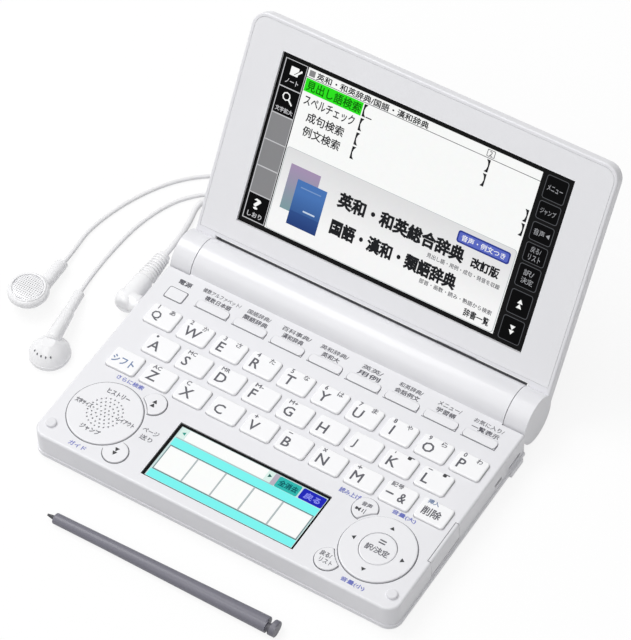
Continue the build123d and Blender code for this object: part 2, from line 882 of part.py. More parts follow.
# ---------------------------------------------------------------- lid
with BuildPart() as lid_cover:
    with BuildSketch(lid_plane.offset(lid_back)) as lid_outline:
        with Locations((0, (lid_foot + lid_top) / 2)):
            Rectangle(lid_width, lid_top - lid_foot)
        fillet(lid_outline.vertices().group_by(Axis.Y)[-1], lid_corner)
        ear_width = lid_half - ear_start
        for side in (-1, 1):
            with Locations((side * (ear_start + ear_width / 2), lid_foot / 2)):
                Rectangle(ear_width, lid_foot + 0.02)
    extrude(amount=lid_face - lid_back)
    back_face = lid_cover.faces().filter_by(lid_plane).sort_by(
        Axis((0, 0, 0), tuple(lid_plane.z_dir))
    )[0]
    front_face = lid_cover.faces().filter_by(lid_plane).sort_by(
        Axis((0, 0, 0), tuple(lid_plane.z_dir))
    )[-1]

    def outer_edges(face):
        """Edges along the lid's sides and top, not the ones beside the barrel."""
        found = []
        for edge in face.edges():
            place = lid_plane.to_local_coords(edge.center())
            if abs(place.X) > lid_half - lid_corner or place.Y > lid_top - lid_corner:
                if place.Y > lid_foot + 1:
                    found.append(edge)
        return found

    fillet(outer_edges(back_face), 1.8)
    fillet(outer_edges(front_face), 0.6)
    for side in (-1, 1):
        with BuildSketch(Plane.YZ.offset(side * ear_start)):
            with Locations((hinge_y, hinge_z)):
                Circle(barrel_radius)
        extrude(amount=side * ear_width)
    with BuildSketch(lid_plane.offset(lid_back + lid_wall)) as tray:
        with Locations((0, (lid_foot + lid_top) / 2)):
            Rectangle(lid_width - 2 * lid_wall, lid_top - lid_foot - 2 * lid_wall)
        fillet(tray.vertices().group_by(Axis.Y)[-1], lid_corner - lid_wall)
    extrude(amount=lid_face - lid_back, mode=Mode.SUBTRACT)
    for side in (-1, 1):
        with BuildSketch(Plane.YZ.offset(side * (ear_start - 1))):
            with Locations((hinge_y, hinge_z)):
                Circle(pin_radius + pin_gap)
        extrude(amount=side * (pin_reach + 1 + pin_gap), mode=Mode.SUBTRACT)
pieces["lid_cover"] = lid_cover.part

window_middle = window_foot + window_height / 2
with BuildPart() as lid_bezel:
    with BuildSketch(lid_plane.offset(lid_face - bezel_thickness)) as frame:
        inset = lid_wall + bezel_gap
        with Locations((0, (lid_foot + lid_top) / 2)):
            Rectangle(lid_width - 2 * inset, lid_top - lid_foot - 2 * inset)
        fillet(frame.vertices().group_by(Axis.Y)[-1], lid_corner - inset)
        with Locations((0, window_middle)):
            Rectangle(window_width, window_height, mode=Mode.SUBTRACT)
    extrude(amount=bezel_thickness)
    # posts that stand on the lid's back shell
    with BuildSketch(lid_plane.offset(lid_back + lid_wall)):
        for x in (-lid_half + 5, lid_half - 5):
            with Locations((x, lid_foot + 6), (x, lid_top - 6), (x, window_middle)):
                Circle(post_radius)
    extrude(amount=lid_face - bezel_thickness - lid_back - lid_wall)
pieces["lid_bezel"] = lid_bezel.part

with BuildPart() as main_screen:
    with BuildSketch(lid_plane.offset(lid_face - bezel_thickness - bezel_gap)):
        with Locations((0, window_middle)):
            Rectangle(window_width + 2 * screen_lap, window_height + 2 * screen_lap)
    extrude(amount=-screen_thickness)
pieces["main_screen"] = main_screen.part

# ---------------------------------------------------------------- stylus
stylus_lean = math.asin((stylus_tail_radius - stylus_axis_nib) / stylus_length)
stylus_heading = math.radians(stylus_turn)
stylus_axis = Vector(
    math.cos(stylus_lean) * math.cos(stylus_heading),
    math.cos(stylus_lean) * math.sin(stylus_heading),
    math.sin(stylus_lean),
)
stylus_plane = Plane(
    origin=(*stylus_nib, stylus_axis_nib), x_dir=stylus_axis, z_dir=(0, -1, 0)
)
with BuildPart() as stylus:
    with BuildSketch(stylus_plane):
        with BuildLine():
            barrel_end = nib_length + stylus_barrel
            neck_end = barrel_end + stylus_neck
            Polyline(
                (0, 0),
                (0, nib_tip),
                (nib_length, nib_radius),
                (nib_length + 2.0, stylus_front_radius),
                (barrel_end, stylus_tail_radius),
                (barrel_end, stylus_neck_radius),
                (neck_end, stylus_neck_radius),
                (neck_end, stylus_tail_radius),
                (stylus_length, stylus_tail_radius),
                (stylus_length, 0),
                close=True,
            )
        make_face()
    revolve(axis=Axis(stylus_plane.origin, stylus_plane.x_dir))
pieces["stylus"] = stylus.part

# ---------------------------------------------------------------- earphones
with BuildPart() as earphone_plug:
    collar_end = -half_width + wall
    hub_start = plug_axis_x - hub_radius
    hub_end = -half_width - 1.2
    for low_x, high_x, radius in (
        (hub_start, hub_end, hub_radius),
        (hub_end, collar_end, collar_radius),
        (collar_end, -half_width + plug_pin_reach, plug_pin_radius),
    ):
        with BuildSketch(Plane.YZ.offset(low_x)):
            with Locations((plug_y, plug_z)):
                Circle(radius)
        extrude(amount=high_x - low_x)
    rim = earphone_plug.edges().filter_by(GeomType.CIRCLE).group_by(Axis.X)[0]
    fillet(rim, 1.6)
    with BuildSketch(Plane.XZ.offset(-plug_y)):
        with Locations((plug_axis_x, plug_z)):
            Circle(plug_radius)
    extrude(amount=-(arm_end - plug_y))
    with BuildSketch(Plane.XZ.offset(-arm_end)):
        with Locations((plug_axis_x, plug_z)):
            Circle(plug_radius - 0.3)
    with BuildSketch(Plane.XZ.offset(-relief_end)):
        with Locations((plug_axis_x, plug_z)):
            Circle(relief_radius)
    loft()
pieces["earphone_plug"] = earphone_plug.part



def laid(points):
    """Points on the table, moved with the sides and the hinge of the case."""
    along = half_width / route_half_width
    return [(x * along, y + hinge_y - route_hinge_y, z) for x, y, z in points]


# Routes of the cords: corners of each tube, chosen by hand.
low_z = main_diameter / 2
high_z = low_z + coil_layer
lead_points = [
    (-82.8, 54.5, 3.4),
    (-85.0, 63.5, 1.1),
    (-86.9, 70.5, 1.1),
    (-84.9, 75.9, 1.1),
    (-80.6, 79.0, 1.1),
    (-74.4, 79.2, 1.1),
    (-60.0, 76.6, 1.1),
    (-40.0, 70.5, 1.1),
    (-22.0, 66.5, 1.3),
    (-7.0, 63.6, 3.8),
]
lead_route = [
    (plug_axis_x, relief_end, plug_z),
    (plug_axis_x, relief_end + 6.0, plug_z),
    *laid(lead_points),
    (coil_x - main_diameter, coil_y - coil_radius, high_z),
]
left_points = [
    (57.0, 68.5, 0.8),
    (61.5, 79.0, 0.8),
    (59.5, 92.0, 0.8),
    (49.0, 102.5, 0.8),
    (33.0, 107.5, 0.8),
    (8.0, 106.5, 0.8),
    (-20.0, 109.0, 0.8),
    (-46.0, 104.0, 0.8),
    (-68.0, 96.5, 0.8),
    (-87.0, 88.5, 0.8),
    (-100.5, 77.5, 0.8),
    (-110.0, 60.5, 0.8),
    (-115.0, 41.0, 0.8),
    (-113.63, 29.44, 1.3),
    (-113.1, 21.5, 2.1),
]
left_exit = split_y - branch_spread / 2
left_route = [
    (split_end, left_exit, low_z),
    (split_end + 9.0, left_exit, low_z),
    *laid(left_points),
]
right_points = [
    (53.0, 70.5, 0.8),
    (56.5, 79.0, 0.8),
    (54.5, 90.0, 0.8),
    (46.0, 98.5, 0.8),
    (31.0, 103.0, 0.8),
    (6.0, 102.5, 0.8),
    (-22.0, 105.0, 0.8),
    (-45.0, 99.5, 0.8),
    (-64.0, 91.0, 0.8),
    (-82.0, 81.5, 0.8),
    (-94.5, 70.5, 0.8),
    (-100.5, 54.0, 0.8),
    (-101.9, 36.0, 0.8),
    (-101.46, 19.41, 0.8),
    (-99.9, 12.7, 2.1),
]
right_exit = split_y + branch_spread / 2
right_route = [
    (split_end, right_exit, low_z),
    (split_end + 7.5, right_exit, low_z),
    *laid(right_points),
]


def corner_radii(route):
    """For each corner of a route, the largest arc that its two runs allow."""
    points = [Vector(*p) for p in route]
    runs = [b - a for a, b in zip(points, points[1:])]
    radii = []
    for before, after in zip(runs, runs[1:]):
        half_turn = math.radians(before.get_angle(after)) / 2
        radii.append(0.45 * min(before.length, after.length) / math.tan(half_turn))
    return radii


def tube(name, route, diameter):
    """A cord along a route of straight runs joined by tangent arcs."""
    radii = corner_radii(route)
    with BuildPart() as cord:
        with BuildLine() as path:
            FilletPolyline(*route, radius=radii)
        line = path.wire()
        with BuildSketch(Plane(origin=line @ 0, z_dir=line % 0)):
            Circle(diameter / 2)
        sweep(path=line)
    section = math.pi * diameter**2 / 4
    print(
        f"{name}: length {line.length:.1f}, smallest radius {min(radii):.1f},"
        f" radii {[round(r, 1) for r in radii]},"
        f" volume {cord.part.volume:.1f} of {section * line.length:.1f}"
    )
    return cord.part


pieces["cord_lead"] = tube("cord_lead", lead_route, main_diameter)
pieces["cord_left"] = tube("cord_left", left_route, branch_diameter)
pieces["cord_right"] = tube("cord_right", right_route, branch_diameter)

# The coil winds in on its upper layer and out again on its lower one. Each half
# turn is an arc from one side of the centre line to the other, so the tube stays
# smooth; the innermost half turn is tilted and drops to the lower layer.
stops = []
for k in range(2 * coil_turns_in + 1):
    reach = coil_radius - k * coil_pitch / 2
    stops.append((reach if k % 2 else -reach, high_z))
stops[-1] = (coil_tuck - coil_inner, high_z)
stops.append((coil_inner - coil_tuck, low_z))
for k in range(1, half_turns_out + 1):
    reach = coil_inner + k * coil_pitch / 2
    stops.append((-reach if k % 2 else reach, low_z))

with BuildPart() as cord_coil:
    with BuildLine() as turns:
        start = (coil_x, coil_y + stops[0][0], high_z)
        Line(lead_route[-1], start)
        for (a, za), (b, zb) in zip(stops, stops[1:]):
            bulge = math.hypot(b - a, zb - za) / 2
            side = 1 if a < b else -1
            middle = (coil_x + side * bulge, coil_y + (a + b) / 2, (za + zb) / 2)
            ThreePointArc((coil_x, coil_y + a, za), middle, (coil_x, coil_y + b, zb))
        last = (coil_x, coil_y + stops[-1][0], low_z)
        Line(last, (coil_x + coil_tail, last[1], last[2]))
    wound = turns.wire()
    with BuildSketch(Plane(origin=wound @ 0, z_dir=wound % 0)):
        Circle(main_diameter / 2)
    sweep(path=wound)
pieces["cord_coil"] = cord_coil.part


def least_gap(wire, diameter, samples=1200):
    """Least gap of a wound tube to itself, measured between points of its line."""
    points = [wire @ (i / samples) for i in range(samples + 1)]
    skip = int(2.5 * diameter * samples / wire.length) + 1
    nearest = min(
        (points[i] - points[j]).length
        for i in range(0, samples + 1, 2)
        for j in range(i + skip, samples + 1, 2)
    )
    return nearest - diameter


print(
    f"cord_coil: length {wound.length:.1f}, least gap {least_gap(wound, main_diameter):.2f},"
    f" volume {cord_coil.part.volume:.1f}"
    f" of {math.pi * low_z**2 * wound.length:.1f}"
)


def earbud(face_centre, face_up, stem_root, stem_end):
    """One earbud: a flat grille, a domed back and a stem."""
    side = 1 if face_up else -1
    bud_plane = Plane(origin=face_centre, x_dir=(1, 0, 0), z_dir=(0, 1, 0))
    with BuildPart() as bud:
        with BuildSketch(bud_plane):
            with BuildLine():
                Line((0, 0), (bud_radius - 1.0, 0))
                ThreePointArc(
                    (bud_radius - 1.0, 0),
                    (bud_radius - 0.1, side * bud_face * 0.35),
                    (bud_radius - 0.2, side * bud_face),
                )
                ThreePointArc(
                    (bud_radius - 0.2, side * bud_face),
                    (bud_radius * 0.68, side * bud_depth * 0.72),
                    (2.4, side * bud_depth),
                )
                Line((2.4, side * bud_depth), (0, side * bud_depth))
                Line((0, side * bud_depth), (0, 0))
            make_face()
        revolve(axis=Axis(face_centre, (0, 0, 1)))
        stem_axis = Vector(*stem_end) - Vector(*stem_root)
        with BuildSketch(Plane(origin=stem_root, z_dir=stem_axis)):
            Circle(stem_radius)
        extrude(amount=stem_axis.length)
    return bud.part


with BuildPart() as earphone_fittings:
    with BuildSketch(Plane.YZ.offset(split_start)):
        with Locations((split_y, split_height / 2)):
            RectangleRounded(split_width, split_height, 0.9)
    extrude(amount=split_length)
    face_up, stem_low = laid([(-114.4, 1.9, bud_depth), (-112.1, 6.6, 3.6)])
    add(earbud(face_up, True, stem_low, left_route[-1]))
    face_down, stem_high = laid([(-93.7, -14.9, 0), (-93.8, -13.5, 7.2)])
    add(earbud(face_down, False, stem_high, right_route[-1]))
pieces["earphone_fittings"] = earphone_fittings.part

# ---------------------------------------------------------------- files
for name, piece in pieces.items():
    piece.label = name
    export_step(piece, f"parts/{name}.step")
print(len(pieces), "pieces; hinge axis at", hinge_y, round(hinge_z, 3), "deck at", deck)
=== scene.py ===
"""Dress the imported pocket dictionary: finishes, lettering, lit screens and earphones."""
import logging
import math
from dataclasses import dataclass, field
from enum import Enum
from typing import Callable, Optional, Sequence, Union

import bpy
from mathutils import Matrix, Vector


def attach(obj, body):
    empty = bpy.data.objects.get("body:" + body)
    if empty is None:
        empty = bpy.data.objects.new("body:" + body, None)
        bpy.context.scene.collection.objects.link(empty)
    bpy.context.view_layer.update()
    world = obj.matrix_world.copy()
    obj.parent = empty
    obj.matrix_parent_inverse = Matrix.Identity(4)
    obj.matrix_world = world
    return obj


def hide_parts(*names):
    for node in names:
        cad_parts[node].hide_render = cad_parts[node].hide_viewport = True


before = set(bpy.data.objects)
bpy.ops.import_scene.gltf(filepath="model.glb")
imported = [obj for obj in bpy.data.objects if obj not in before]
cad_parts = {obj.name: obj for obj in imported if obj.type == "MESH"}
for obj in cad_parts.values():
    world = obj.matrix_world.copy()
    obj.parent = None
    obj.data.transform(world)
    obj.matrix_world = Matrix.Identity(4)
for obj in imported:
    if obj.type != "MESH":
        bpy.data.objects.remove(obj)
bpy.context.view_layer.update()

LOG = logging.getLogger("pocket_dictionary")
MM = 0.001
PHOTO_SIZE = (631, 640)
Triple = tuple[float, float, float]
Shape = bpy.types.Object


# ------------------------------------------------------------------ finishes
def linear(hex_code: str) -> tuple[float, float, float, float]:
    """Turn an sRGB hex colour into the linear colour that a shader takes.

    Args:
        hex_code: a colour such as "#E9E9EC".

    Returns:
        Linear red, green and blue with an alpha of 1.
    """
    parts = [int(hex_code[i : i + 2], 16) / 255 for i in (1, 3, 5)]
    red, green, blue = (
        c / 12.92 if c <= 0.04045 else ((c + 0.055) / 1.055) ** 2.4 for c in parts
    )
    return (red, green, blue, 1.0)


def add_node(
    tree: bpy.types.NodeTree,
    kind: str,
    settings: Optional[dict] = None,
    links: Optional[dict] = None,
) -> bpy.types.Node:
    """Add a shader node with its settings and its incoming links.

    Args:
        tree: the node tree that gets the node.
        kind: the node's type name.
        settings: input sockets, by name or number, and attributes, with their values.
        links: input sockets, by name or number, with the output that feeds each.

    Returns:
        The new node.
    """
    node = tree.nodes.new(kind)
    for key, value in (settings or {}).items():
        if isinstance(key, int) or key in node.inputs:
            node.inputs[key].default_value = value
        else:
            setattr(node, key, value)
    for key, source in (links or {}).items():
        tree.links.new(source, node.inputs[key])
    return node


def new_material(name: str) -> tuple[bpy.types.Material, bpy.types.NodeTree]:
    """Start an empty node material.

    Args:
        name: the material's name.

    Returns:
        The material and its node tree.
    """
    material = bpy.data.materials.new(name)
    material.use_nodes = True
    material.node_tree.nodes.clear()
    return material, material.node_tree


@dataclass(frozen=True)
class Moulded:
    """Injection-moulded plastic or rubber: one colour that drifts a little, with a fine grain.

    The grain's size is the spark-eroded texture of the mould in millimetres, and its
    depth is in micrometres.
    """

    name: str
    colour: str
    shade: str
    roughness: float
    ior: float = 1.53
    grain: float = 0.35
    depth: float = 2.0
    coat: float = 0.0
    drift: float = 38.0

    def build(self) -> bpy.types.Material:
        """Make the material."""
        material, tree = new_material(self.name)
        place = add_node(tree, "ShaderNodeTexCoord").outputs["Object"]
        fine = add_node(
            tree, "ShaderNodeTexNoise", {"Scale": 1 / (self.grain * MM), "Detail": 2.0}, {"Vector": place}
        )
        wide = add_node(
            tree, "ShaderNodeTexNoise", {"Scale": 1 / (self.drift * MM), "Detail": 3.0}, {"Vector": place}
        )
        tint = add_node(
            tree,
            "ShaderNodeMix",
            {"data_type": "RGBA", 6: linear(self.shade), 7: linear(self.colour)},
            {0: wide.outputs["Fac"]},
        )
        rough = add_node(
            tree,
            "ShaderNodeMapRange",
            {"To Min": self.roughness - 0.05, "To Max": self.roughness + 0.05},
            {"Value": fine.outputs["Fac"]},
        )
        bump = add_node(
            tree,
            "ShaderNodeBump",
            {"Strength": 0.5, "Distance": self.depth * 1e-6},
            {"Height": fine.outputs["Fac"]},
        )
        surface = add_node(
            tree,
            "ShaderNodeBsdfPrincipled",
            {"IOR": self.ior, "Coat Weight": self.coat, "Coat Roughness": 0.08},
            {
                "Base Color": tint.outputs[2],
                "Roughness": rough.outputs["Result"],
                "Normal": bump.outputs["Normal"],
            },
        )
        add_node(tree, "ShaderNodeOutputMaterial", links={"Surface": surface.outputs["BSDF"]})
        return material


@dataclass(frozen=True)
class Band:
    """One stretch of a piece: where it starts in mm along the axis, and its surface."""

    start: float
    colour: str
    metallic: float = 0.0
    roughness: float = 0.4


@dataclass(frozen=True)
class Banded:
    """A piece assembled from lengths of different stuff, told apart along one axis.

    The bands follow Object coordinates, so they stay with the piece as it moves.
    """

    name: str
    axis: int
    low: float
    high: float
    bands: tuple[Band, ...]
    grain: float = 0.4

    def ramp(self, tree: bpy.types.NodeTree, along: bpy.types.NodeSocket, what: Callable) -> bpy.types.Node:
        """Add a stepped ramp over the bands.

        Args:
            tree: the material's node tree.
            along: the place along the axis, from 0 to 1.
            what: gives a band's colour.

        Returns:
            The ramp node.
        """
        node = add_node(tree, "ShaderNodeValToRGB", links={"Fac": along})
        ramp = node.color_ramp
        ramp.interpolation = "CONSTANT"
        ramp.elements.remove(ramp.elements[1])
        for i, band in enumerate(self.bands):
            at = (band.start - self.low) / (self.high - self.low)
            stop = ramp.elements[0] if i == 0 else ramp.elements.new(at)
            stop.position = at
            stop.color = what(band)
        return node

    def build(self) -> bpy.types.Material:
        """Make the material."""
        material, tree = new_material(self.name)
        place = add_node(tree, "ShaderNodeTexCoord").outputs["Object"]
        split = add_node(tree, "ShaderNodeSeparateXYZ", links={0: place})
        along = add_node(
            tree,
            "ShaderNodeMapRange",
            {"From Min": self.low * MM, "From Max": self.high * MM},
            {"Value": split.outputs[self.axis]},
        ).outputs["Result"]
        colour = self.ramp(tree, along, lambda band: linear(band.colour))
        kind = self.ramp(tree, along, lambda band: (band.metallic, band.roughness, 0.0, 1.0))
        parts = add_node(tree, "ShaderNodeSeparateColor", links={0: kind.outputs["Color"]})
        fine = add_node(
            tree, "ShaderNodeTexNoise", {"Scale": 1 / (self.grain * MM), "Detail": 2.0}, {"Vector": place}
        )
        tint = add_node(
            tree,
            "ShaderNodeMix",
            {"data_type": "RGBA", "blend_type": "MULTIPLY", 0: 0.12},
            {6: colour.outputs["Color"], 7: fine.outputs["Color"]},
        )
        bump = add_node(
            tree, "ShaderNodeBump", {"Strength": 0.4, "Distance": 2e-6}, {"Height": fine.outputs["Fac"]}
        )
        surface = add_node(
            tree,
            "ShaderNodeBsdfPrincipled",
            None,
            {
                "Base Color": tint.outputs[2],
                "Metallic": parts.outputs[0],
                "Roughness": parts.outputs[1],
                "Normal": bump.outputs["Normal"],
            },
        )
        add_node(tree, "ShaderNodeOutputMaterial", links={"Surface": surface.outputs["BSDF"]})
        return material


@dataclass(frozen=True)
class Printed:
    """Pad-printed ink: matt, a little thinner in places."""

    name: str
    colour: str
    thin: str
    roughness: float = 0.55

    def build(self) -> bpy.types.Material:
        """Make the material."""
        material, tree = new_material(self.name)
        place = add_node(tree, "ShaderNodeTexCoord").outputs["Object"]
        cover = add_node(tree, "ShaderNodeTexNoise", {"Scale": 900.0, "Detail": 3.0}, {"Vector": place})
        tint = add_node(
            tree,
            "ShaderNodeMix",
            {"data_type": "RGBA", 6: linear(self.thin), 7: linear(self.colour)},
            {0: cover.outputs["Fac"]},
        )
        surface = add_node(
            tree,
            "ShaderNodeBsdfPrincipled",
            {"Roughness": self.roughness, "IOR": 1.5},
            {"Base Color": tint.outputs[2]},
        )
        add_node(tree, "ShaderNodeOutputMaterial", links={"Surface": surface.outputs["BSDF"]})
        return material


@dataclass(frozen=True)
class Lit:
    """Lit picture dots behind coated glass: their own light over the same colour.

    Where fade is given, the colour turns to it from the height top down to bottom, in
    mm up the row's Z axis.
    """

    name: str
    colour: str
    fade: str = ""
    top: float = 0.0
    bottom: float = 1.0
    glow: float = 0.74

    def build(self) -> bpy.types.Material:
        """Make the material."""
        material, tree = new_material(self.name)
        place = add_node(tree, "ShaderNodeTexCoord").outputs["Object"]
        split = add_node(tree, "ShaderNodeSeparateXYZ", links={0: place})
        down = add_node(
            tree,
            "ShaderNodeMapRange",
            {"From Min": self.top * MM, "From Max": self.bottom * MM},
            {"Value": split.outputs[2]},
        )
        shade = add_node(
            tree,
            "ShaderNodeMix",
            {"data_type": "RGBA", 6: linear(self.colour), 7: linear(self.fade or self.colour)},
            {0: down.outputs["Result"]},
        )
        dots = add_node(tree, "ShaderNodeTexNoise", {"Scale": 420.0, "Detail": 1.0}, {"Vector": place})
        tint = add_node(
            tree,
            "ShaderNodeMix",
            {"data_type": "RGBA", "blend_type": "MULTIPLY", 0: 0.03},
            {6: shade.outputs[2], 7: dots.outputs["Color"]},
        )
        dim = add_node(
            tree,
            "ShaderNodeMix",
            {"data_type": "RGBA", 0: 1.0 - self.glow, 6: (0.0, 0.0, 0.0, 1.0)},
            {7: tint.outputs[2]},
        )
        surface = add_node(
            tree,
            "ShaderNodeBsdfPrincipled",
            {"Roughness": 0.35, "IOR": 1.12, "Emission Strength": self.glow},
            {"Base Color": dim.outputs[2], "Emission Color": tint.outputs[2]},
        )
        add_node(tree, "ShaderNodeOutputMaterial", links={"Surface": surface.outputs["BSDF"]})
        return material


@dataclass(frozen=True)
class Brushed:
    """Bare or plated metal with fine lines from brushing or turning, at its own colour."""

    name: str
    colour: str
    roughness: float
    stretch: Triple = (1.0, 1.0, 1.0)
    line: float = 0.15

    def build(self) -> bpy.types.Material:
        """Make the material."""
        material, tree = new_material(self.name)
        place = add_node(tree, "ShaderNodeTexCoord").outputs["Object"]
        drawn = add_node(tree, "ShaderNodeMapping", {"Scale": self.stretch}, {"Vector": place})
        lines = add_node(
            tree,
            "ShaderNodeTexNoise",
            {"Scale": 1 / (self.line * MM), "Detail": 3.0},
            {"Vector": drawn.outputs["Vector"]},
        )
        tint = add_node(
            tree,
            "ShaderNodeMix",
            {"data_type": "RGBA", "blend_type": "MULTIPLY", 0: 0.2, 6: linear(self.colour)},
            {7: lines.outputs["Color"]},
        )
        rough = add_node(
            tree,
            "ShaderNodeMapRange",
            {"To Min": self.roughness - 0.08, "To Max": self.roughness + 0.08},
            {"Value": lines.outputs["Fac"]},
        )
        surface = add_node(
            tree,
            "ShaderNodeBsdfPrincipled",
            {"Metallic": 1.0},
            {"Base Color": tint.outputs[2], "Roughness": rough.outputs["Result"]},
        )
        add_node(tree, "ShaderNodeOutputMaterial", links={"Surface": surface.outputs["BSDF"]})
        return material


@dataclass(frozen=True)
class CircuitLaminate:
    """Glass-epoxy circuit board: green solder mask over darker copper tracks 0.4 mm wide."""

    name: str = "solder_masked_board"
    mask: str = "#0F5A33"
    track: str = "#0A3F25"

    def build(self) -> bpy.types.Material:
        """Make the material."""
        material, tree = new_material(self.name)
        place = add_node(tree, "ShaderNodeTexCoord").outputs["Object"]
        tracks = add_node(
            tree,
            "ShaderNodeTexVoronoi",
            {"Scale": 420.0, "feature": "F1", "distance": "CHEBYCHEV"},
            {"Vector": place},
        )
        edge = add_node(
            tree, "ShaderNodeMath", {"operation": "GREATER_THAN", 1: 0.42}, {0: tracks.outputs["Distance"]}
        )
        tint = add_node(
            tree,
            "ShaderNodeMix",
            {"data_type": "RGBA", 6: linear(self.mask), 7: linear(self.track)},
            {0: edge.outputs["Value"]},
        )
        surface = add_node(
            tree,
            "ShaderNodeBsdfPrincipled",
            {"Roughness": 0.35, "IOR": 1.55},
            {"Base Color": tint.outputs[2]},
        )
        add_node(tree, "ShaderNodeOutputMaterial", links={"Surface": surface.outputs["BSDF"]})
        return material


Finish = Union[Moulded, Banded, Printed, Lit, Brushed, CircuitLaminate]
made: dict[Finish, bpy.types.Material] = {}


def material_of(finish: Finish) -> bpy.types.Material:
    """Give the one material of a finish, made the first time it is asked for."""
    if finish not in made:
        made[finish] = finish.build()
    return made[finish]


# Satin ABS with a fine pearl lacquer, which looks a cool pale grey
CASE = Moulded("pearl_lacquered_abs", "#EAEAED", "#E4E4E8", 0.34, coat=0.25)
# The same lacquer on the lid's inner frame, painted lighter than the case as painted light, to make up for the
# lamp light that it faces away from
BEZEL_PAINTED_LIGHTER = Moulded("pearl_lacquer_painted_lighter_bezel", "#EFEFF2", "#EAEAED", 0.3, coat=0.25)
# Polished ABS key caps, whiter and glossier than the case
KEYCAP = Moulded("polished_key_abs", "#FBFBFC", "#F6F6F8", 0.22, coat=0.4, depth=0.8)
# Keys in the colour of the deck
FLUSH_KEY = Moulded("satin_key_abs", "#EEEEF1", "#E9E9EC", 0.3, coat=0.25, depth=1.2)
# Glass with an anti-reflection layer and black print behind it: deep black
GLASS = Moulded("coated_black_glass", "#060607", "#040405", 0.12, ior=1.2, depth=0.1)
# Silicone rubber: duller than the case
FOOT = Moulded("silicone_foot", "#E9E9EC", "#E2E2E6", 0.6, ior=1.41, grain=0.5, depth=6.0)
MAT = Moulded("silicone_key_mat", "#BDBDBD", "#B2B2B4", 0.65, ior=1.41, depth=5.0)
# Black paper cone and painted steel basket
CONE = Moulded("speaker_paper_and_paint", "#161618", "#0E0E10", 0.6, grain=0.6, depth=12.0)
# Nickel-plated steel screws, and the plain steel hinge pins
STEEL = Brushed("nickel_plated_steel", "#C9C8C4", 0.28)
# White elastomer sheath: soft, faintly glossy, picks up a grey shade
SHEATH = Moulded("white_elastomer_sheath", "#F1F1F2", "#E7E7E9", 0.42, ior=1.49, grain=0.6, depth=3.0)
EARPHONE = Moulded("white_polished_abs", "#F6F6F7", "#EFEFF1", 0.2, coat=0.3, depth=0.6)
FELT = Printed("grey_acoustic_felt", "#BCBCC1", "#AFAFB4", 0.9)
# Painted shade: flat dark patches standing in for the shade inside the earbud's vent slots
VENT_SHADE = Printed("painted_vent_shade", "#6B6B71", "#5C5C62", 0.8)
# Painted shade: mid grey stand-ins for the shade in the narrow gaps round the controls, and a darker one for the
# shade in the gap behind the barrel
GAP_SHADE = Moulded("painted_gap_shade", "#77777D", "#6D6D73", 0.7, ior=1.45, grain=0.3)
# Painted shade for the gap behind the barrel, darker than the gap shade round the controls
BARREL_GAP_SHADE = Moulded("painted_barrel_gap_shade", "#3C3C41", "#333337", 0.75, ior=1.45, grain=0.3)
GREY_INK = Printed("dark_grey_pad_print", "#4B4B53", "#5A5A62")
BLACK_INK = Printed("black_pad_print", "#1D1D20", "#2A2A2E")
SOFT_INK = Printed("mid_grey_pad_print", "#53535B", "#62626A")
BLUE_INK = Printed("blue_pad_print", "#5D66B8", "#6E77C2")
STEEL_INK = Printed("steel_blue_pad_print", "#56709A", "#6880A6")
PLUG = Banded(
    "white_moulded_plug_with_plated_pin",
    0,
    -86.0,
    -40.0,
    (Band(-86.0, "#F4F4F5", 0.0, 0.25), Band(-73.9, "#D9D6CE", 1.0, 0.16)),
)
STYLUS = Banded(
    "grey_stylus_with_dark_nib",
    0,
    -60.0,
    50.0,
    (
        Band(-60.0, "#3B3A3F", 0.0, 0.45),
        Band(-51.0, "#75747F", 0.0, 0.38),
        Band(36.7, "#4F4E56", 0.0, 0.4),
        Band(38.1, "#6C6B75", 0.0, 0.38),
    ),
)
CELLS = Banded(
    "printed_cell_sleeve",
    0,
    -56.0,
    56.0,
    (
        Band(-56.0, "#C8C6C0", 1.0, 0.25),
        Band(-50.4, "#34363B", 0.0, 0.3),
        Band(-36.0, "#8D9096", 0.0, 0.3),
        Band(-1.2, "#C8C6C0", 1.0, 0.25),
        Band(0.9, "#34363B", 0.0, 0.3),
        Band(15.0, "#8D9096", 0.0, 0.3),
        Band(49.5, "#C8C6C0", 1.0, 0.25),
    ),
)


# ------------------------------------------------------------------ modelling by hand
def clear_selection() -> None:
    """Leave object mode with nothing selected."""
    if bpy.context.mode != "OBJECT":
        bpy.ops.object.mode_set(mode="OBJECT")
    bpy.ops.object.select_all(action="DESELECT")


def choose(shape: Shape) -> None:
    """Make one object the only selected one."""
    clear_selection()
    shape.select_set(True)
    bpy.context.view_layer.objects.active = shape


def pick_faces(shape: Shape, wanted: Callable[[Vector, Vector], bool]) -> None:
    """Enter edit mode with just the wanted faces selected.

    Args:
        shape: the mesh object.
        wanted: takes a face's centre and normal and says whether it is wanted.
    """
    choose(shape)
    mesh = shape.data
    for group in (mesh.vertices, mesh.edges, mesh.polygons):
        group.foreach_set("select", [False] * len(group))
    for face in mesh.polygons:
        face.select = wanted(face.center, face.normal)
    bpy.ops.object.mode_set(mode="EDIT")
    bpy.ops.mesh.select_mode(type="FACE")


def settle(shape: Shape, place: Optional[Matrix] = None) -> Shape:
    """Put a finished shape in its place and leave its object at the origin.

    Args:
        shape: the mesh object.
        place: where it goes, or None where its mesh is there already.

    Returns:
        The same object.
    """
    choose(shape)
    if place is not None:
        shape.matrix_world = place
    bpy.ops.object.transform_apply(location=True, rotation=True, scale=True)
    return shape


def recalculate(shape: Shape) -> None:
    """Merge doubled points and turn every face outwards."""
    choose(shape)
    bpy.ops.object.mode_set(mode="EDIT")
    bpy.ops.mesh.select_all(action="SELECT")
    bpy.ops.mesh.remove_doubles(threshold=1e-7)
    bpy.ops.mesh.normals_make_consistent(inside=False)
    bpy.ops.object.mode_set(mode="OBJECT")


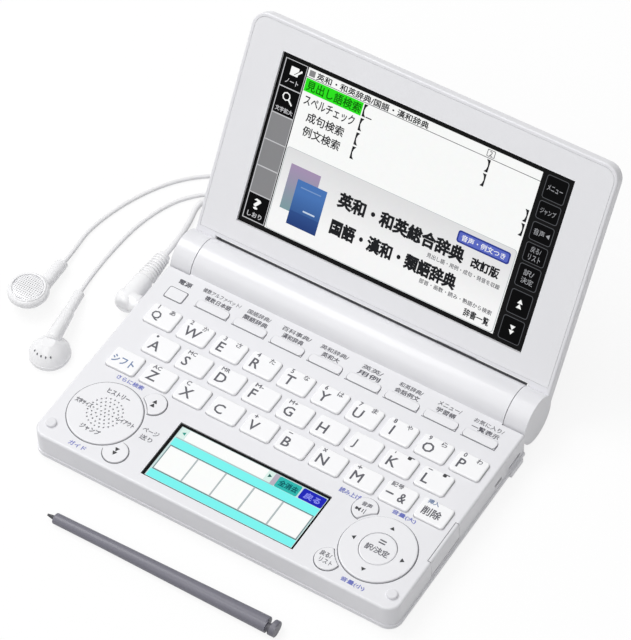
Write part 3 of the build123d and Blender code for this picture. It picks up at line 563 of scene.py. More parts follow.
def apply_modifier(shape: Shape, kind: str, settings: dict) -> None:
    """Add a modifier to a shape and apply it.

    Args:
        shape: the mesh object.
        kind: the modifier's type.
        settings: its attributes and their values.
    """
    choose(shape)
    modifier = shape.modifiers.new(kind.lower(), kind)
    for key, value in settings.items():
        setattr(modifier, key, value)
    bpy.ops.object.modifier_apply(modifier=modifier.name)


def join(name: str, shapes: Sequence[Shape]) -> Shape:
    """Join shapes into one object.

    Args:
        name: the joined object's name.
        shapes: the objects, of which the first one stays.

    Returns:
        The joined object.
    """
    choose(shapes[0])
    for shape in shapes[1:]:
        shape.select_set(True)
    if len(shapes) > 1:
        bpy.ops.object.join()
    whole = bpy.context.view_layer.objects.active
    whole.name = name
    whole.data.name = name
    return whole


def carry(shape: Shape, body: str) -> Shape:
    """Let a piece ride on a body."""
    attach(shape, body)
    LOG.info("%s rides on %s", shape.name, body)
    return shape


def paint(shape: Shape, finish: Finish) -> Shape:
    """Give a piece one material on its whole surface."""
    shape.data.materials.clear()
    shape.data.materials.append(material_of(finish))
    return shape


def ring(
    name: str,
    centre: Triple,
    axis: Triple,
    radius: float,
    width: float,
    height: float,
    finish: Finish,
) -> Shape:
    """Turn a rounded ring: a small section with eased corners is spun about the axis.

    Args:
        name: the ring's name.
        centre: its middle, in mm.
        axis: the direction it goes round.
        radius: the section's middle from the axis, in mm.
        width: the section across the radius, in mm.
        height: the section along the axis, in mm.
        finish: its finish.

    Returns:
        The ring's object.
    """
    clear_selection()
    bpy.ops.mesh.primitive_plane_add(size=1.0)
    shape = bpy.context.object
    shape.name = name
    place = Matrix.Translation((radius * MM, 0, 0)) @ Matrix.Rotation(math.pi / 2, 4, "X")
    settle(shape, place @ Matrix.Diagonal((width * MM, height * MM, 1, 1)))
    bpy.ops.object.mode_set(mode="EDIT")
    bpy.ops.mesh.select_all(action="SELECT")
    bpy.ops.mesh.bevel(offset=min(width, height) * 0.3 * MM, segments=3, affect="VERTICES")
    bpy.ops.mesh.select_all(action="SELECT")
    bpy.ops.mesh.spin(steps=48, angle=2 * math.pi, center=(0, 0, 0), axis=(0, 0, 1))
    bpy.ops.object.mode_set(mode="OBJECT")
    recalculate(shape)
    pick_faces(shape, lambda middle, normal: abs(middle.y) < 1e-9 and abs(normal.y) > 0.99)
    bpy.ops.mesh.delete(type="FACE")
    bpy.ops.object.mode_set(mode="OBJECT")
    turn = Vector((0, 0, 1)).rotation_difference(Vector(axis).normalized()).to_matrix().to_4x4()
    settle(shape, Matrix.Translation(Vector(centre) * MM) @ turn)
    bpy.ops.object.shade_smooth_by_angle(angle=math.radians(40))
    return paint(shape, finish)


def sleeve(
    name: str,
    start: Triple,
    end: Triple,
    radii: tuple[float, float],
    ease: float,
    finish: Finish,
    oval: float = 1.0,
) -> Shape:
    """Turn a tapered sleeve with rounded ends between two places.

    Args:
        name: the sleeve's name.
        start: the middle of its first end, in mm.
        end: the middle of its last end, in mm.
        radii: its radius at either end, in mm.
        ease: the rounding of its ends, in mm.
        finish: its finish.
        oval: for a sleeve along X, its height over its width.

    Returns:
        The sleeve's object.
    """
    way = Vector(end) - Vector(start)
    clear_selection()
    bpy.ops.mesh.primitive_cone_add(
        vertices=40, radius1=radii[0] * MM, radius2=radii[1] * MM, depth=way.length * MM
    )
    shape = bpy.context.object
    shape.name = name
    pick_faces(shape, lambda middle, normal: abs(normal.z) > 0.99)
    bpy.ops.mesh.bevel(offset=ease * MM, segments=5, affect="EDGES")
    bpy.ops.object.mode_set(mode="OBJECT")
    turn = Vector((0, 0, 1)).rotation_difference(way.normalized()).to_matrix().to_4x4()
    middle = (Vector(start) + Vector(end)) / 2 * MM
    settle(shape, Matrix.Translation(middle) @ turn @ Matrix.Diagonal((oval, 1.0, 1.0, 1.0)))
    bpy.ops.object.shade_smooth_by_angle(angle=math.radians(40))
    return paint(shape, finish)


# ------------------------------------------------------------------ flat print
@dataclass(frozen=True)
class Sheet:
    """A flat place for print: its corner, its direction across and its direction up, in mm."""

    corner: Triple
    across: Triple = (1.0, 0.0, 0.0)
    up: Triple = (0.0, 1.0, 0.0)

    def place(self, x: float, y: float, lift: float, turn: float = 0.0) -> Matrix:
        """Give the matrix of a spot on the sheet.

        Args:
            x: mm across.
            y: mm up.
            lift: mm off the sheet.
            turn: degrees anticlockwise.

        Returns:
            A matrix that takes metres on the spot to the row frame.
        """
        across, up = Vector(self.across), Vector(self.up)
        out = across.cross(up)
        rows = Matrix((across, up, out)).transposed().to_4x4()
        corner = Vector(self.corner) * MM
        spot = Matrix.Translation((x * MM, y * MM, lift * MM))
        return Matrix.Translation(corner) @ rows @ spot @ Matrix.Rotation(math.radians(turn), 4, "Z")


@dataclass(frozen=True)
class Word:
    """Print: what it says, its middle, height and width in mm, its finish and its turn."""

    text: str
    x: float
    y: float
    height: float
    width: float = 0.0
    finish: Finish = GREY_INK
    turn: float = 0.0
    bold: float = 0.0
    lift: float = 0.03
    from_left: bool = False

    def build(self, sheet: Sheet) -> Shape:
        """Set the word on a sheet as a thin solid of ink.

        Args:
            sheet: the flat place that it is printed on.

        Returns:
            The word's mesh object.
        """
        clear_selection()
        bpy.ops.object.text_add()
        letters = bpy.context.object
        letters.data.body = self.text
        letters.data.extrude = 0.02
        letters.data.bevel_depth = self.bold
        letters.data.bevel_resolution = 0
        letters.data.resolution_u = 2
        bpy.ops.object.convert(target="MESH")
        shape = bpy.context.object
        xs = [point.co.x for point in shape.data.vertices]
        ys = [point.co.y for point in shape.data.vertices]
        tall, wide = max(ys) - min(ys), max(xs) - min(xs)
        scale_y = self.height * MM / tall
        scale_x = self.width * MM / wide if self.width else scale_y
        middle = Matrix.Translation((-(max(xs) + min(xs)) / 2, -(max(ys) + min(ys)) / 2, 0))
        settle(shape, middle)
        size = Matrix.Diagonal((scale_x, scale_y, 0.0007, 1.0))
        x = self.x + wide * scale_x / MM / 2 if self.from_left else self.x
        settle(shape, sheet.place(x, self.y, self.lift, self.turn) @ size)
        return paint(shape, self.finish)


@dataclass(frozen=True)
class Patch:
    """A flat field with eased corners: its low and high corner in mm, its finish and level.

    Where rim is given, only a frame of that width stays of it.
    """

    x0: float
    y0: float
    x1: float
    y1: float
    finish: Finish
    level: int = 1
    corner: float = 0.0
    turn: float = 0.0
    rim: float = 0.0

    def build(self, sheet: Sheet) -> Shape:
        """Lay the field on a sheet as a thin plate.

        Args:
            sheet: the flat place that it lies on.

        Returns:
            The field's mesh object.
        """
        clear_selection()
        bpy.ops.mesh.primitive_plane_add(size=1.0)
        shape = bpy.context.object
        wide, tall = (self.x1 - self.x0) * MM, (self.y1 - self.y0) * MM
        settle(shape, Matrix.Diagonal((wide, tall, 1.0, 1.0)))
        bpy.ops.object.mode_set(mode="EDIT")
        bpy.ops.mesh.select_all(action="SELECT")
        if self.corner:
            bpy.ops.mesh.bevel(offset=self.corner * MM, segments=5, affect="VERTICES")
            bpy.ops.mesh.select_all(action="SELECT")
        if self.rim:
            bpy.ops.mesh.inset(thickness=self.rim * MM)
            bpy.ops.mesh.delete(type="FACE")
            bpy.ops.mesh.select_all(action="SELECT")
        bpy.ops.mesh.extrude_region_move(TRANSFORM_OT_translate={"value": (0, 0, 0.015 * MM)})
        bpy.ops.object.mode_set(mode="OBJECT")
        recalculate(shape)
        x, y = (self.x0 + self.x1) / 2, (self.y0 + self.y1) / 2
        settle(shape, sheet.place(x, y, 0.005 + 0.02 * self.level, self.turn))
        return paint(shape, self.finish)


def lay(
    name: str, marks: Sequence[Union[Word, Patch]], sheet: Sheet, body: str
) -> Shape:
    """Lay words and fields on a sheet, join them and let them ride on a body.

    Args:
        name: the joined piece's name.
        marks: the words and fields.
        sheet: the flat place.
        body: the body that carries it.

    Returns:
        The joined piece.
    """
    whole = join(name, [mark.build(sheet) for mark in marks])
    return carry(whole, body)


# ------------------------------------------------------------------ camera and cords
@dataclass
class Viewpoint:
    """The photograph's camera: place in mm, direction and roll in degrees, focal length in mm."""

    place: Triple = (436.44, -624.72, 1022.24)
    azimuth: float = 34.2007
    elevation: float = 51.4871
    roll: float = -2.504
    lens: float = 203.58

    def build(self) -> None:
        """Make the camera and use it."""
        azimuth, elevation, roll = (
            math.radians(v) for v in (self.azimuth, self.elevation, self.roll)
        )
        forward = Vector(
            (
                -math.sin(azimuth) * math.cos(elevation),
                math.cos(azimuth) * math.cos(elevation),
                -math.sin(elevation),
            )
        )
        right = forward.cross(Vector((0, 0, 1))).normalized()
        up = right.cross(forward)
        rolled_right = right * math.cos(roll) + up * math.sin(roll)
        rolled_up = up * math.cos(roll) - right * math.sin(roll)
        turn = Matrix((rolled_right, rolled_up, -forward)).transposed().to_4x4()
        data = bpy.data.cameras.new("photograph_view")
        data.lens = self.lens
        data.sensor_width = 36.0
        camera = bpy.data.objects.new("photograph_view", data)
        camera.matrix_world = Matrix.Translation(Vector(self.place) * MM) @ turn
        bpy.context.scene.collection.objects.link(camera)
        bpy.context.scene.camera = camera


@dataclass
class EarphoneCords:
    """The earphones' three cords, on the table behind and beside the case.

    The main cord runs from the plug round the left rear corner to a flat coil of turns
    and ends in the splitter. The two thinner ones run from there to the earbuds.
    """

    main_diameter: float = 2.2
    branch_diameter: float = 1.6
    main_length: float = 748.6
    left_length: float = 274.2
    right_length: float = 255.7
    coil_middle: tuple[float, float] = (6.0, 81.7)
    upper: float = 3.8
    lower: float = 1.1
    lead: tuple[Triple, ...] = (
        (-81.2, 41.0, 6.2), (-81.2, 47.0, 6.2), (-82.8, 54.5, 3.4), (-85.0, 63.5, 1.1),
        (-86.9, 70.5, 1.1), (-84.9, 75.9, 1.1), (-80.6, 79.0, 1.1), (-74.4, 79.2, 1.1),
        (-60.0, 76.6, 1.1), (-40.0, 70.5, 1.1), (-22.0, 66.5, 1.3), (-7.0, 63.6, 3.8),
        (3.8, 63.6, 3.8),
    )
    turns: tuple[float, ...] = (
        -18.1, 16.75, -15.4, 14.05, -12.7, 11.35, -10.0, 8.65, -6.6,
        6.6, -8.65, 10.0, -11.35, 12.7, -14.05, 15.4, -16.75,
    )
    left: tuple[Triple, ...] = (
        (38, 63.35, 1.1), (47, 63.35, 1.1), (57, 68.5, 0.8), (61.5, 79, 0.8), (59.5, 92, 0.8),
        (49, 102.5, 0.8), (33, 107.5, 0.8), (8, 106.5, 0.8), (-20, 109, 0.8), (-46, 104, 0.8),
        (-68, 96.5, 0.8), (-87, 88.5, 0.8), (-100.5, 77.5, 0.8), (-110, 60.5, 0.8),
        (-115, 41, 0.8), (-113.63, 29.44, 1.3), (-113.1, 21.5, 2.1),
    )
    right: tuple[Triple, ...] = (
        (38, 66.55, 1.1), (45.5, 66.55, 1.1), (53, 70.5, 0.8), (56.5, 79, 0.8), (54.5, 90, 0.8),
        (46, 98.5, 0.8), (31, 103, 0.8), (6, 102.5, 0.8), (-22, 105, 0.8), (-45, 99.5, 0.8),
        (-64, 91, 0.8), (-82, 81.5, 0.8), (-94.5, 70.5, 0.8), (-100.5, 54, 0.8),
        (-101.9, 36, 0.8), (-101.46, 19.41, 0.8), (-99.9, 12.7, 2.1),
    )

    def coil(self) -> list[Triple]:
        """Give the coil's own turns: sixteen points to a turn, wound in and out again.

        Returns:
            The points in mm, from the lead's end to the splitter.
        """
        middle_x, middle_y = self.coil_middle
        heights = [self.upper] * 9 + [self.lower] * 8
        points: list[Triple] = []
        for i, (a, b) in enumerate(zip(self.turns, self.turns[1:])):
            centre, reach = (a + b) / 2, abs(b - a) / 2 / 0.981
            first = -90.0 if a < b else 90.0
            for step in range(8):
                angle = math.radians(first + 22.5 * step)
                height = heights[i] + (heights[i + 1] - heights[i]) * step / 8
                points.append(
                    (
                        middle_x + reach * math.cos(angle),
                        middle_y + centre + reach * math.sin(angle),
                        height,
                    )
                )
        end = middle_y + self.turns[-1]
        return points + [(middle_x, end, self.lower), (14.0, end, self.lower), (22.0, end, self.lower)]

    def strand(self, name: str, points: Sequence[Triple], diameter: float) -> Shape:
        """Make one cord as a smooth curve through its route.

        Args:
            name: the cord's name.
            points: its route in mm.
            diameter: its diameter in mm.

        Returns:
            The curve object.
        """
        curve = bpy.data.curves.new(name, "CURVE")
        curve.dimensions = "3D"
        spline = curve.splines.new("NURBS")
        spline.points.add(len(points) - 1)
        for point, (x, y, z) in zip(spline.points, points):
            point.co = (x * MM, y * MM, z * MM, 1.0)
        spline.order_u = 3
        spline.use_endpoint_u = True
        curve.resolution_u = 6
        curve.bevel_depth = diameter / 2 * MM
        curve.bevel_resolution = 4
        curve.use_fill_caps = True
        cord = bpy.data.objects.new(name, curve)
        bpy.context.scene.collection.objects.link(cord)
        curve.materials.append(material_of(SHEATH))
        return carry(cord, "earphones")

    def build(self) -> None:
        """Make the three cords and hide the CAD cords that they replace."""
        main = self.strand("earphone_main_cord", [*self.lead, *self.coil()], self.main_diameter)
        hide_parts("cord_lead", "cord_coil")
        branches = (
            ("earbud_cord_left", self.left, self.left_length, "cord_left"),
            ("earbud_cord_right", self.right, self.right_length, "cord_right"),
        )
        for name, route, length, node in branches:
            cord = self.strand(name, route, self.branch_diameter)
            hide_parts(node)


# ------------------------------------------------------------------ the case
@dataclass
class CaseWork:
    """The shell, the keys' caps and what lies inside: a real finish on every CAD piece."""

    finishes: dict[str, Finish] = field(
        default_factory=lambda: {
            "deck_panel": CASE,
            "bottom_case": CASE,
            "battery_cover": CASE,
            "card_cover": CASE,
            "lid_cover": CASE,
            "lid_bezel": BEZEL_PAINTED_LIGHTER,
            "main_screen": GLASS,
            "writing_screen": GLASS,
            "batteries": CELLS,
            "circuit_board": CircuitLaminate(),
            "key_mat": MAT,
            "speaker_unit": CONE,
            "rubber_feet": FOOT,
            "case_screws": STEEL,
            "hinge_pins": STEEL,
            "stylus": STYLUS,
            "earphone_plug": PLUG,
            "earphone_fittings": EARPHONE,
            "function_key_strip": FLUSH_KEY,
            "power_key": FLUSH_KEY,
            "quick_pad": FLUSH_KEY,
            "cursor_ring": FLUSH_KEY,
            "enter_key": FLUSH_KEY,
            "page_up_key": FLUSH_KEY,
            "page_down_key": FLUSH_KEY,
            "voice_key": FLUSH_KEY,
            "back_key": FLUSH_KEY,
        }
    )

    def dress(self) -> None:
        """Give every CAD node its material."""
        for name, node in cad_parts.items():
            finish = self.finishes.get(name, SHEATH if name.startswith("cord") else KEYCAP)
            if node.material_slots:
                for slot in node.material_slots:
                    slot.material = material_of(finish)
            else:
                node.data.materials.append(material_of(finish))


@dataclass
class PaintedGapShade:
    """Painted shade: dark pieces set where shade falls in the narrow gaps round the controls, by the card cover,
    and behind the barrel.

    Each leaves a narrow clearance to the key it goes round. The round keys' rings of painted shade are
    arcs, which stop short of the large control beside them.
    """

    large: tuple[tuple[float, float, float], ...] = ((-56.1, -33.5, 13.6), (56.1, -33.5, 13.6))
    small: tuple[tuple[float, float, float], ...] = (
        (-43.5, -21.4, 4.6), (-43.5, -45.6, 4.6), (43.5, -21.4, 4.6), (43.5, -45.6, 4.6),
    )
    width: float = 0.3
    clearance: float = 0.06
    height: float = 0.2
    top: float = 12.54
    function_size: tuple[float, float] = (13.1, 3.5)
    function_y: float = 24.85
    power_key: tuple[float, float] = (-64.3, 23.75)
    power_half: tuple[float, float] = (3.65, 2.45)

    def hoop(self, x: float, y: float, radius: float) -> Shape:
        """Make the ring of painted gap shade round one round control."""
        middle = radius + self.clearance + self.width / 2
        spot = (x, y, self.top - self.height / 2)
        return ring("gap_shade_ring", spot, (0, 0, 1), middle, self.width, self.height, GAP_SHADE)

    def arc(self, x: float, y: float, radius: float) -> Shape:
        """Make a round key's ring of painted gap shade without the stretch that the large control covers."""
        shape = self.hoop(x, y, radius)
        big_x, big_y, big_radius = min(self.large, key=lambda c: abs(c[0] - x))
        reach = radius + self.clearance + self.width
        limit = (big_radius + self.clearance + self.width + 0.7) * MM
        centre, big = Vector((x, y)) * MM, Vector((big_x, big_y)) * MM

        def covered(middle: Vector, _: Vector) -> bool:
            """Say whether a face's step round the key lies by the large control."""
            out = (Vector(middle[:2]) - centre).normalized()
            return (centre + out * reach * MM - big).length < limit

        pick_faces(shape, covered)
        bpy.ops.mesh.delete(type="FACE")
        bpy.ops.mesh.select_all(action="SELECT")
        bpy.ops.mesh.fill_holes(sides=0)
        bpy.ops.object.mode_set(mode="OBJECT")
        recalculate(shape)
        return shape

    def build(self) -> None:
        """Make the painted gap shade in four pieces."""
        rings = [self.hoop(*spot) for spot in self.large] + [self.arc(*spot) for spot in self.small]
        carry(join("round_control_gap_shade", rings), "base")
        margin = self.clearance + self.width
        wide, tall = (v / 2 + margin for v in self.function_size)
        low = self.function_y - tall
        frames = []
        # Painted shade: a line along each upper-row key's lower edge and one up its right edge, the sides where
        # shade falls
        for x in ((i - 3.5) * 15.86 + 6.32 for i in range(8)):
            frames.append(Patch(x - wide, low, x + wide, low + self.width, GAP_SHADE, 1, 0.1))
            frames.append(Patch(x + wide - self.width, low, x + wide, low + 2.6, GAP_SHADE, 2, 0.1))
        # Painted shade in a frame round the power key
        x, y = self.power_key
        wide, tall = (v + margin for v in self.power_half)
        frames.append(Patch(x - wide, y - tall, x + wide, y + tall, GAP_SHADE, 1, 0.8, rim=self.width))
        lay("upper_row_gap_shade", frames, Sheet((0, 0, 12.5)), "base")
        # Painted shade along the card cover's left edge and at the ends of its lower and upper edges
        outline = [
            Patch(72.75, -28.75, 72.95, -10.05, GAP_SHADE, 1),
            Patch(72.75, -28.75, 74.1, -28.55, GAP_SHADE, 2),
            Patch(72.75, -10.25, 74.1, -10.05, GAP_SHADE, 2),
        ]
        lay("card_cover_gap_shade", outline, Sheet((0, 0, 12.5)), "base")
        # Painted shade: a dark strip on the barrel where shade falls in the gap under the lid's lower edge
        horizon = math.radians(33.4)
        out = (0.0, math.cos(horizon), math.sin(horizon))
        corner = (0.0, 43.6 + 9.3 * out[1], 10.0 + 9.3 * out[2])
        lay("painted_barrel_shade_strip", [Patch(-64.9, 0.0, 64.9, 0.95, BARREL_GAP_SHADE)], Sheet(corner, up=out), "base")


# ------------------------------------------------------------------ key lettering
@dataclass
class LetterKeys:
    """The thirty letter keys' print: places in mm from the middle of each cap."""

    top: float = 13.5
    pitch: float = 14.146
    rows: tuple[tuple[float, float, str], ...] = (
        (-62.45, 12.37, "qwertyuiop"),
        (-55.41, 0.70, "asdfghjkl"),
        (-48.484, -10.97, "zxcvbnm"),
    )
    left_edge: float = -4.2
    letter_height: float = 4.2
    small: dict[str, str] = field(
        default_factory=lambda: {
            "q": "1", "w": "2", "e": "3", "r": "4", "t": "5", "y": "6", "u": "7", "i": "8",
            "o": "9", "p": "0", "s": "MC", "d": "MR", "f": "M-", "g": "M+", "z": "AC",
            "x": "C", "v": "+", "b": "-", "n": "×", "m": "÷", "k": "'", "l": "-", "a": "・",
        }
    )
    kana: str = "あかさたなはまやらわ"
    def marks(self, letter: str, x: float, y: float) -> list[Union[Word, Patch]]:
        """Give one cap's print.

        Args:
            letter: the key's letter.
            x: the cap's middle in mm.
            y: the cap's middle in mm.

        Returns:
            The big letter, the small sign above it, and the kana or pointer mark.
        """
        edge = x + self.left_edge + (1.3 if letter == "i" else 0.0)
        found: list[Union[Word, Patch]] = [
            Word(letter.upper(), edge, y - 0.65, self.letter_height, bold=0.012, from_left=True)
        ]
        sign = self.small.get(letter, "")
        if sign in ("-", "'", "・"):
            wide, tall = {"-": (1.7, 0.35), "'": (0.35, 0.8), "・": (0.95, 0.95)}[sign]
            found.append(
                Patch(
                    x - 3.4 - wide / 2, y + 3.4 - tall / 2, x - 3.4 + wide / 2, y + 3.4 + tall / 2,
                    SOFT_INK if sign != "・" else GREY_INK, 1, min(wide, tall) * 0.4,
                )
            )
        elif len(sign) == 1:
            tall = 1.5 if sign in "+×÷" else 1.9
            found.append(Word(sign, x - 3.4, y + 3.3, tall, 0.0, SOFT_INK, bold=0.02))
        elif sign:
            found.append(Word(sign, x - 2.6, y + 3.3, 1.65, 3.3, SOFT_INK, bold=0.02))
        place = "qwertyuiop".find(letter)
        if place >= 0:
            found.append(Word(self.kana[place], x + 2.45, y + 3.1, 2.15, 2.2, SOFT_INK, bold=0.015))
        if letter in "kl":
            found.append(Patch(x + 1.5, y + 2.9, x + 2.9, y + 4.3, BLACK_INK, 1, 0.4))
            found.append(Patch(x + 2.6, y + 3.9, x + 3.9, y + 4.3, SOFT_INK, 2, 0.1))
        return found

    def build(self) -> None:
        """Print every letter key, and the three wide words of the lowest row."""
        deck = Sheet((0.0, 0.0, self.top))
        for first, y, letters in self.rows:
            for i, letter in enumerate(letters):
                x = first + i * self.pitch
                lay(f"legend_{letter}", self.marks(letter, x, y), deck, f"button_{letter}")
        y = self.rows[2][1]
        shift, dash = -62.63, -62.63 + 8 * self.pitch
        delete = dash + self.pitch
        lay(
            "legend_shift",
            [Word("シフト", shift - 0.45, y - 0.6, 3.3, 9.0, STEEL_INK, bold=0.02)],
            deck, "button_shift",
        )
        lay(
            "legend_dash",
            [
                Patch(dash - 4.75, y - 0.95, dash - 1.65, y - 0.3, GREY_INK, 1, 0.15),
                Word("&", dash + 1.85, y - 0.6, 4.0, 2.9, GREY_INK, bold=0.015),
                Word("記号", dash - 2.3, y + 3.5, 2.0, 4.6, SOFT_INK, bold=0.02),
            ],
            deck, "button_dash",
        )
        lay(
            "legend_delete",
            [
                Word("削除", delete - 0.6, y - 0.6, 3.7, 7.3, GREY_INK, bold=0.02),
                Word("挿入", delete - 2.0, y + 3.5, 1.9, 4.4, STEEL_INK, bold=0.02),
            ],
            deck, "button_delete",
        )


@dataclass
class DeckLettering:
    """Print on the deck and on the pads, rings and round keys, in the row's mm."""

    deck_top: float = 12.5
    function_pitch: float = 15.86
    function_middle: float = 6.32
    function_words: tuple[tuple[str, float, str, float], ...] = (
        ("複数アルファベット/", 16.0, "複数日本語", 10.8),
        ("国語辞典/", 9.6, "類語辞典", 10.1),
        ("百科事典/", 12.0, "漢和辞典", 8.6),
        ("英和辞典/", 11.4, "英和大", 7.2),
        ("英英/", 8.3, "用例", 9.0),
        ("和英辞典/", 9.5, "会話例文", 9.9),
        ("メニュー/", 9.2, "学習帳", 7.8),
        ("お気に入り/", 11.8, "一覧表示", 11.0),
    )

    def labels(self) -> list[Word]:
        """Give the two lines over each key of the upper row, and the blue captions."""
        words = []
        for i, (first, wide, second, narrow) in enumerate(self.function_words):
            x = (i - 3.5) * self.function_pitch + self.function_middle
            words.append(Word(first, x, 31.1, 2.0, wide, GREY_INK, bold=0.01))
            words.append(Word(second, x, 28.3, 2.2, narrow, GREY_INK, bold=0.02))
        return words + [
            Word("電源", -64.2, 29.9, 2.3, 5.4, GREY_INK, bold=0.02),
            Word("さらに検索", -56.2, -17.5, 2.0, 11.2, BLUE_INK, bold=0.02),
            Word("ガイド", -56.6, -49.9, 1.9, 7.0, BLUE_INK, bold=0.02),
            Word("読み上げ", 35.6, -18.4, 2.2, 8.4, BLUE_INK, bold=0.02),
            Word("音量(大)", 56.5, -17.15, 2.1, 9.4, BLUE_INK, bold=0.02),
            Word("音量(小)", 56.0, -49.7, 2.1, 9.3, BLUE_INK, bold=0.02),
            Word("ページ", -37.8, -31.9, 2.1, 6.4, SOFT_INK, bold=0.01),
            Word("送り", -37.75, -35.1, 2.2, 5.0, SOFT_INK, bold=0.01),
        ]

    def build(self) -> None:
        """Print the deck and its round controls."""
        lay("deck_lettering", self.labels(), Sheet((0, 0, self.deck_top)), "base")
        lay(
            "pad_captions",
            [
                Word("ヒストリー", -56.2, -24.6, 2.2, 9.2, GREY_INK, bold=0.025),
                Word("文字サイズ", -65.0, -33.4, 2.1, 6.9, GREY_INK, bold=0.03),
                Word("レイアウト", -47.4, -33.4, 2.1, 6.9, GREY_INK, bold=0.03),
                Word("ジャンプ", -56.6, -42.1, 2.2, 8.1, GREY_INK, bold=0.025),
            ],
            Sheet((0, 0, 13.0)), "pad_button",
        )
        lay(
            "ring_arrows",
            [
                Word("▲", 56.1, -23.7, 1.4, 1.9, BLACK_INK),
                Word("▲", 56.1, -43.3, 1.4, 1.9, BLACK_INK, 180.0),
                Word("▲", 46.3, -33.5, 1.4, 1.9, BLACK_INK, 90.0),
                Word("▲", 65.9, -33.5, 1.4, 1.9, BLACK_INK, -90.0),
            ],
            Sheet((0, 0, 13.2)), "cursor_button",
        )
        lay(
            "enter_words",
            [
                Patch(54.8, -30.1, 57.4, -29.6, GREY_INK, 1, 0.1),
                Patch(54.8, -31.2, 57.4, -30.7, GREY_INK, 1, 0.1),
                Word("訳/決定", 56.2, -34.2, 2.8, 9.2, SOFT_INK, bold=0.02),
            ],
            Sheet((0, 0, 13.3)), "enter_button",
        )
        for name, body, y, turn in (
            ("page_up_arrows", "page_up_button", -21.2, 0.0),
            ("page_down_arrows", "page_down_button", -45.6, 180.0),
        ):
            lay(
                name,
                [
                    Word("▲", -43.5, y + 0.85, 1.6, 1.9, BLACK_INK, turn),
                    Word("▲", -43.5, y - 0.85, 1.6, 1.9, BLACK_INK, turn),
                ],
                Sheet((0, 0, 13.1)), body,
            )
        lay(
            "voice_words",
            [
                Word("音声", 43.4, -19.8, 1.9, 3.9, SOFT_INK, bold=0.02),
                Patch(40.4, -23.2, 41.3, -22.1, BLACK_INK, 1, 0.1),
                Word("▲", 41.7, -22.65, 1.3, 1.9, BLACK_INK, 90.0),
                Patch(43.1, -23.4, 43.4, -21.9, BLACK_INK, 1, 0.1),
                Patch(44.0, -23.7, 44.25, -21.6, SOFT_INK, 1, 0.1),
            ],
            Sheet((0, 0, 13.1)), "voice_button",
        )
        lay(
            "back_words",
            [
                Word("戻る/", 42.2, -44.4, 2.2, 4.4, SOFT_INK, bold=0.02),
                Word("リスト", 43.6, -47.0, 2.0, 5.0, SOFT_INK, bold=0.01),
            ],
            Sheet((0, 0, 13.1)), "back_button",
        )


# ------------------------------------------------------------------ screens
WHITE_DOTS = Lit("lit_white_dots", "#FDFEFD")
CYAN_DOTS = Lit("lit_cyan_dots", "#7DF6F2")
PALE_DOTS = Lit("lit_pale_dots", "#CFE4E3")
GREY_DOTS = Lit("lit_grey_dots", "#B4BDBE")
EDGE_DOTS = Lit("lit_slate_dots", "#416E70")
MID_DOTS = Lit("lit_middle_grey_dots", "#8A8A8C")
DARK_DOTS = Lit("unlit_black_dots", "#060607", glow=0.1)
TEXT_DOTS = Lit("dark_text_dots", "#202124", glow=0.2)
FAINT_DOTS = Lit("faint_text_dots", "#6C6C70")


@dataclass
class WritingDisplay:
    """The small screen between the pads: a message strip, two buttons and five boxes."""

    corner: Triple = (-31.15, -48.35, 12.1)
    box_edges: tuple[tuple[float, float], ...] = (
        (2.55, 13.5), (14.15, 25.2), (25.85, 36.8), (37.5, 48.5), (49.2, 60.6),
    )

    def build(self) -> None:
        """Lay the screen's fields on its glass."""
        fields: list[Union[Word, Patch]] = [
            Patch(1.3, 0.5, 61.45, 24.4, PALE_DOTS, 1),
            Patch(1.7, 0.6, 61.25, 3.9, CYAN_DOTS, 2),
            Patch(1.7, 15.8, 61.25, 19.2, CYAN_DOTS, 2),
            Patch(2.1, 4.0, 61.05, 15.75, EDGE_DOTS, 2),
            Patch(2.35, 4.3, 60.8, 15.45, GREY_DOTS, 3),
            Patch(1.9, 19.25, 42.0, 19.6, GREY_DOTS, 2),
            Patch(1.9, 19.9, 4.6, 24.25, Lit("lit_mint_dots", "#DDF3EC"), 2),
            Patch(4.8, 19.8, 37.5, 24.2, WHITE_DOTS, 2),
            Patch(37.5, 19.8, 40.3, 24.2, Lit("lit_mint_dots", "#DDF3EC"), 2),
            Patch(40.3, 19.6, 42.2, 24.2, Lit("lit_mauve_dots", "#BAB2C0"), 2),
            Patch(42.2, 19.3, 51.3, 24.1, Lit("lit_teal_dots", "#2FB7AF"), 2, 0.6),
            Patch(51.9, 19.4, 61.3, 24.1, Lit("lit_blue_dots", "#1F27B8"), 2, 0.6),
            Word("▲", 3.4, 22.1, 1.3, 1.5, Lit("lit_sea_dots", "#2E9A8A"), 90.0, lift=0.08),
            Word("▲", 39.1, 22.2, 1.4, 1.6, Lit("lit_dark_sea_dots", "#1A6157"), -90.0, lift=0.08),
            Word("全消去", 46.8, 21.7, 2.7, 7.6, Lit("lit_deep_teal_dots", "#045C62"), lift=0.08, bold=0.03),
            Word("戻る", 56.6, 21.7, 2.8, 6.4, Lit("lit_lilac_dots", "#8A8FF2"), lift=0.08, bold=0.03),
        ]
        fields += [Patch(low, 4.55, high, 15.2, WHITE_DOTS, 4) for low, high in self.box_edges]
        lay("writing_display", fields, Sheet(self.corner), "base")


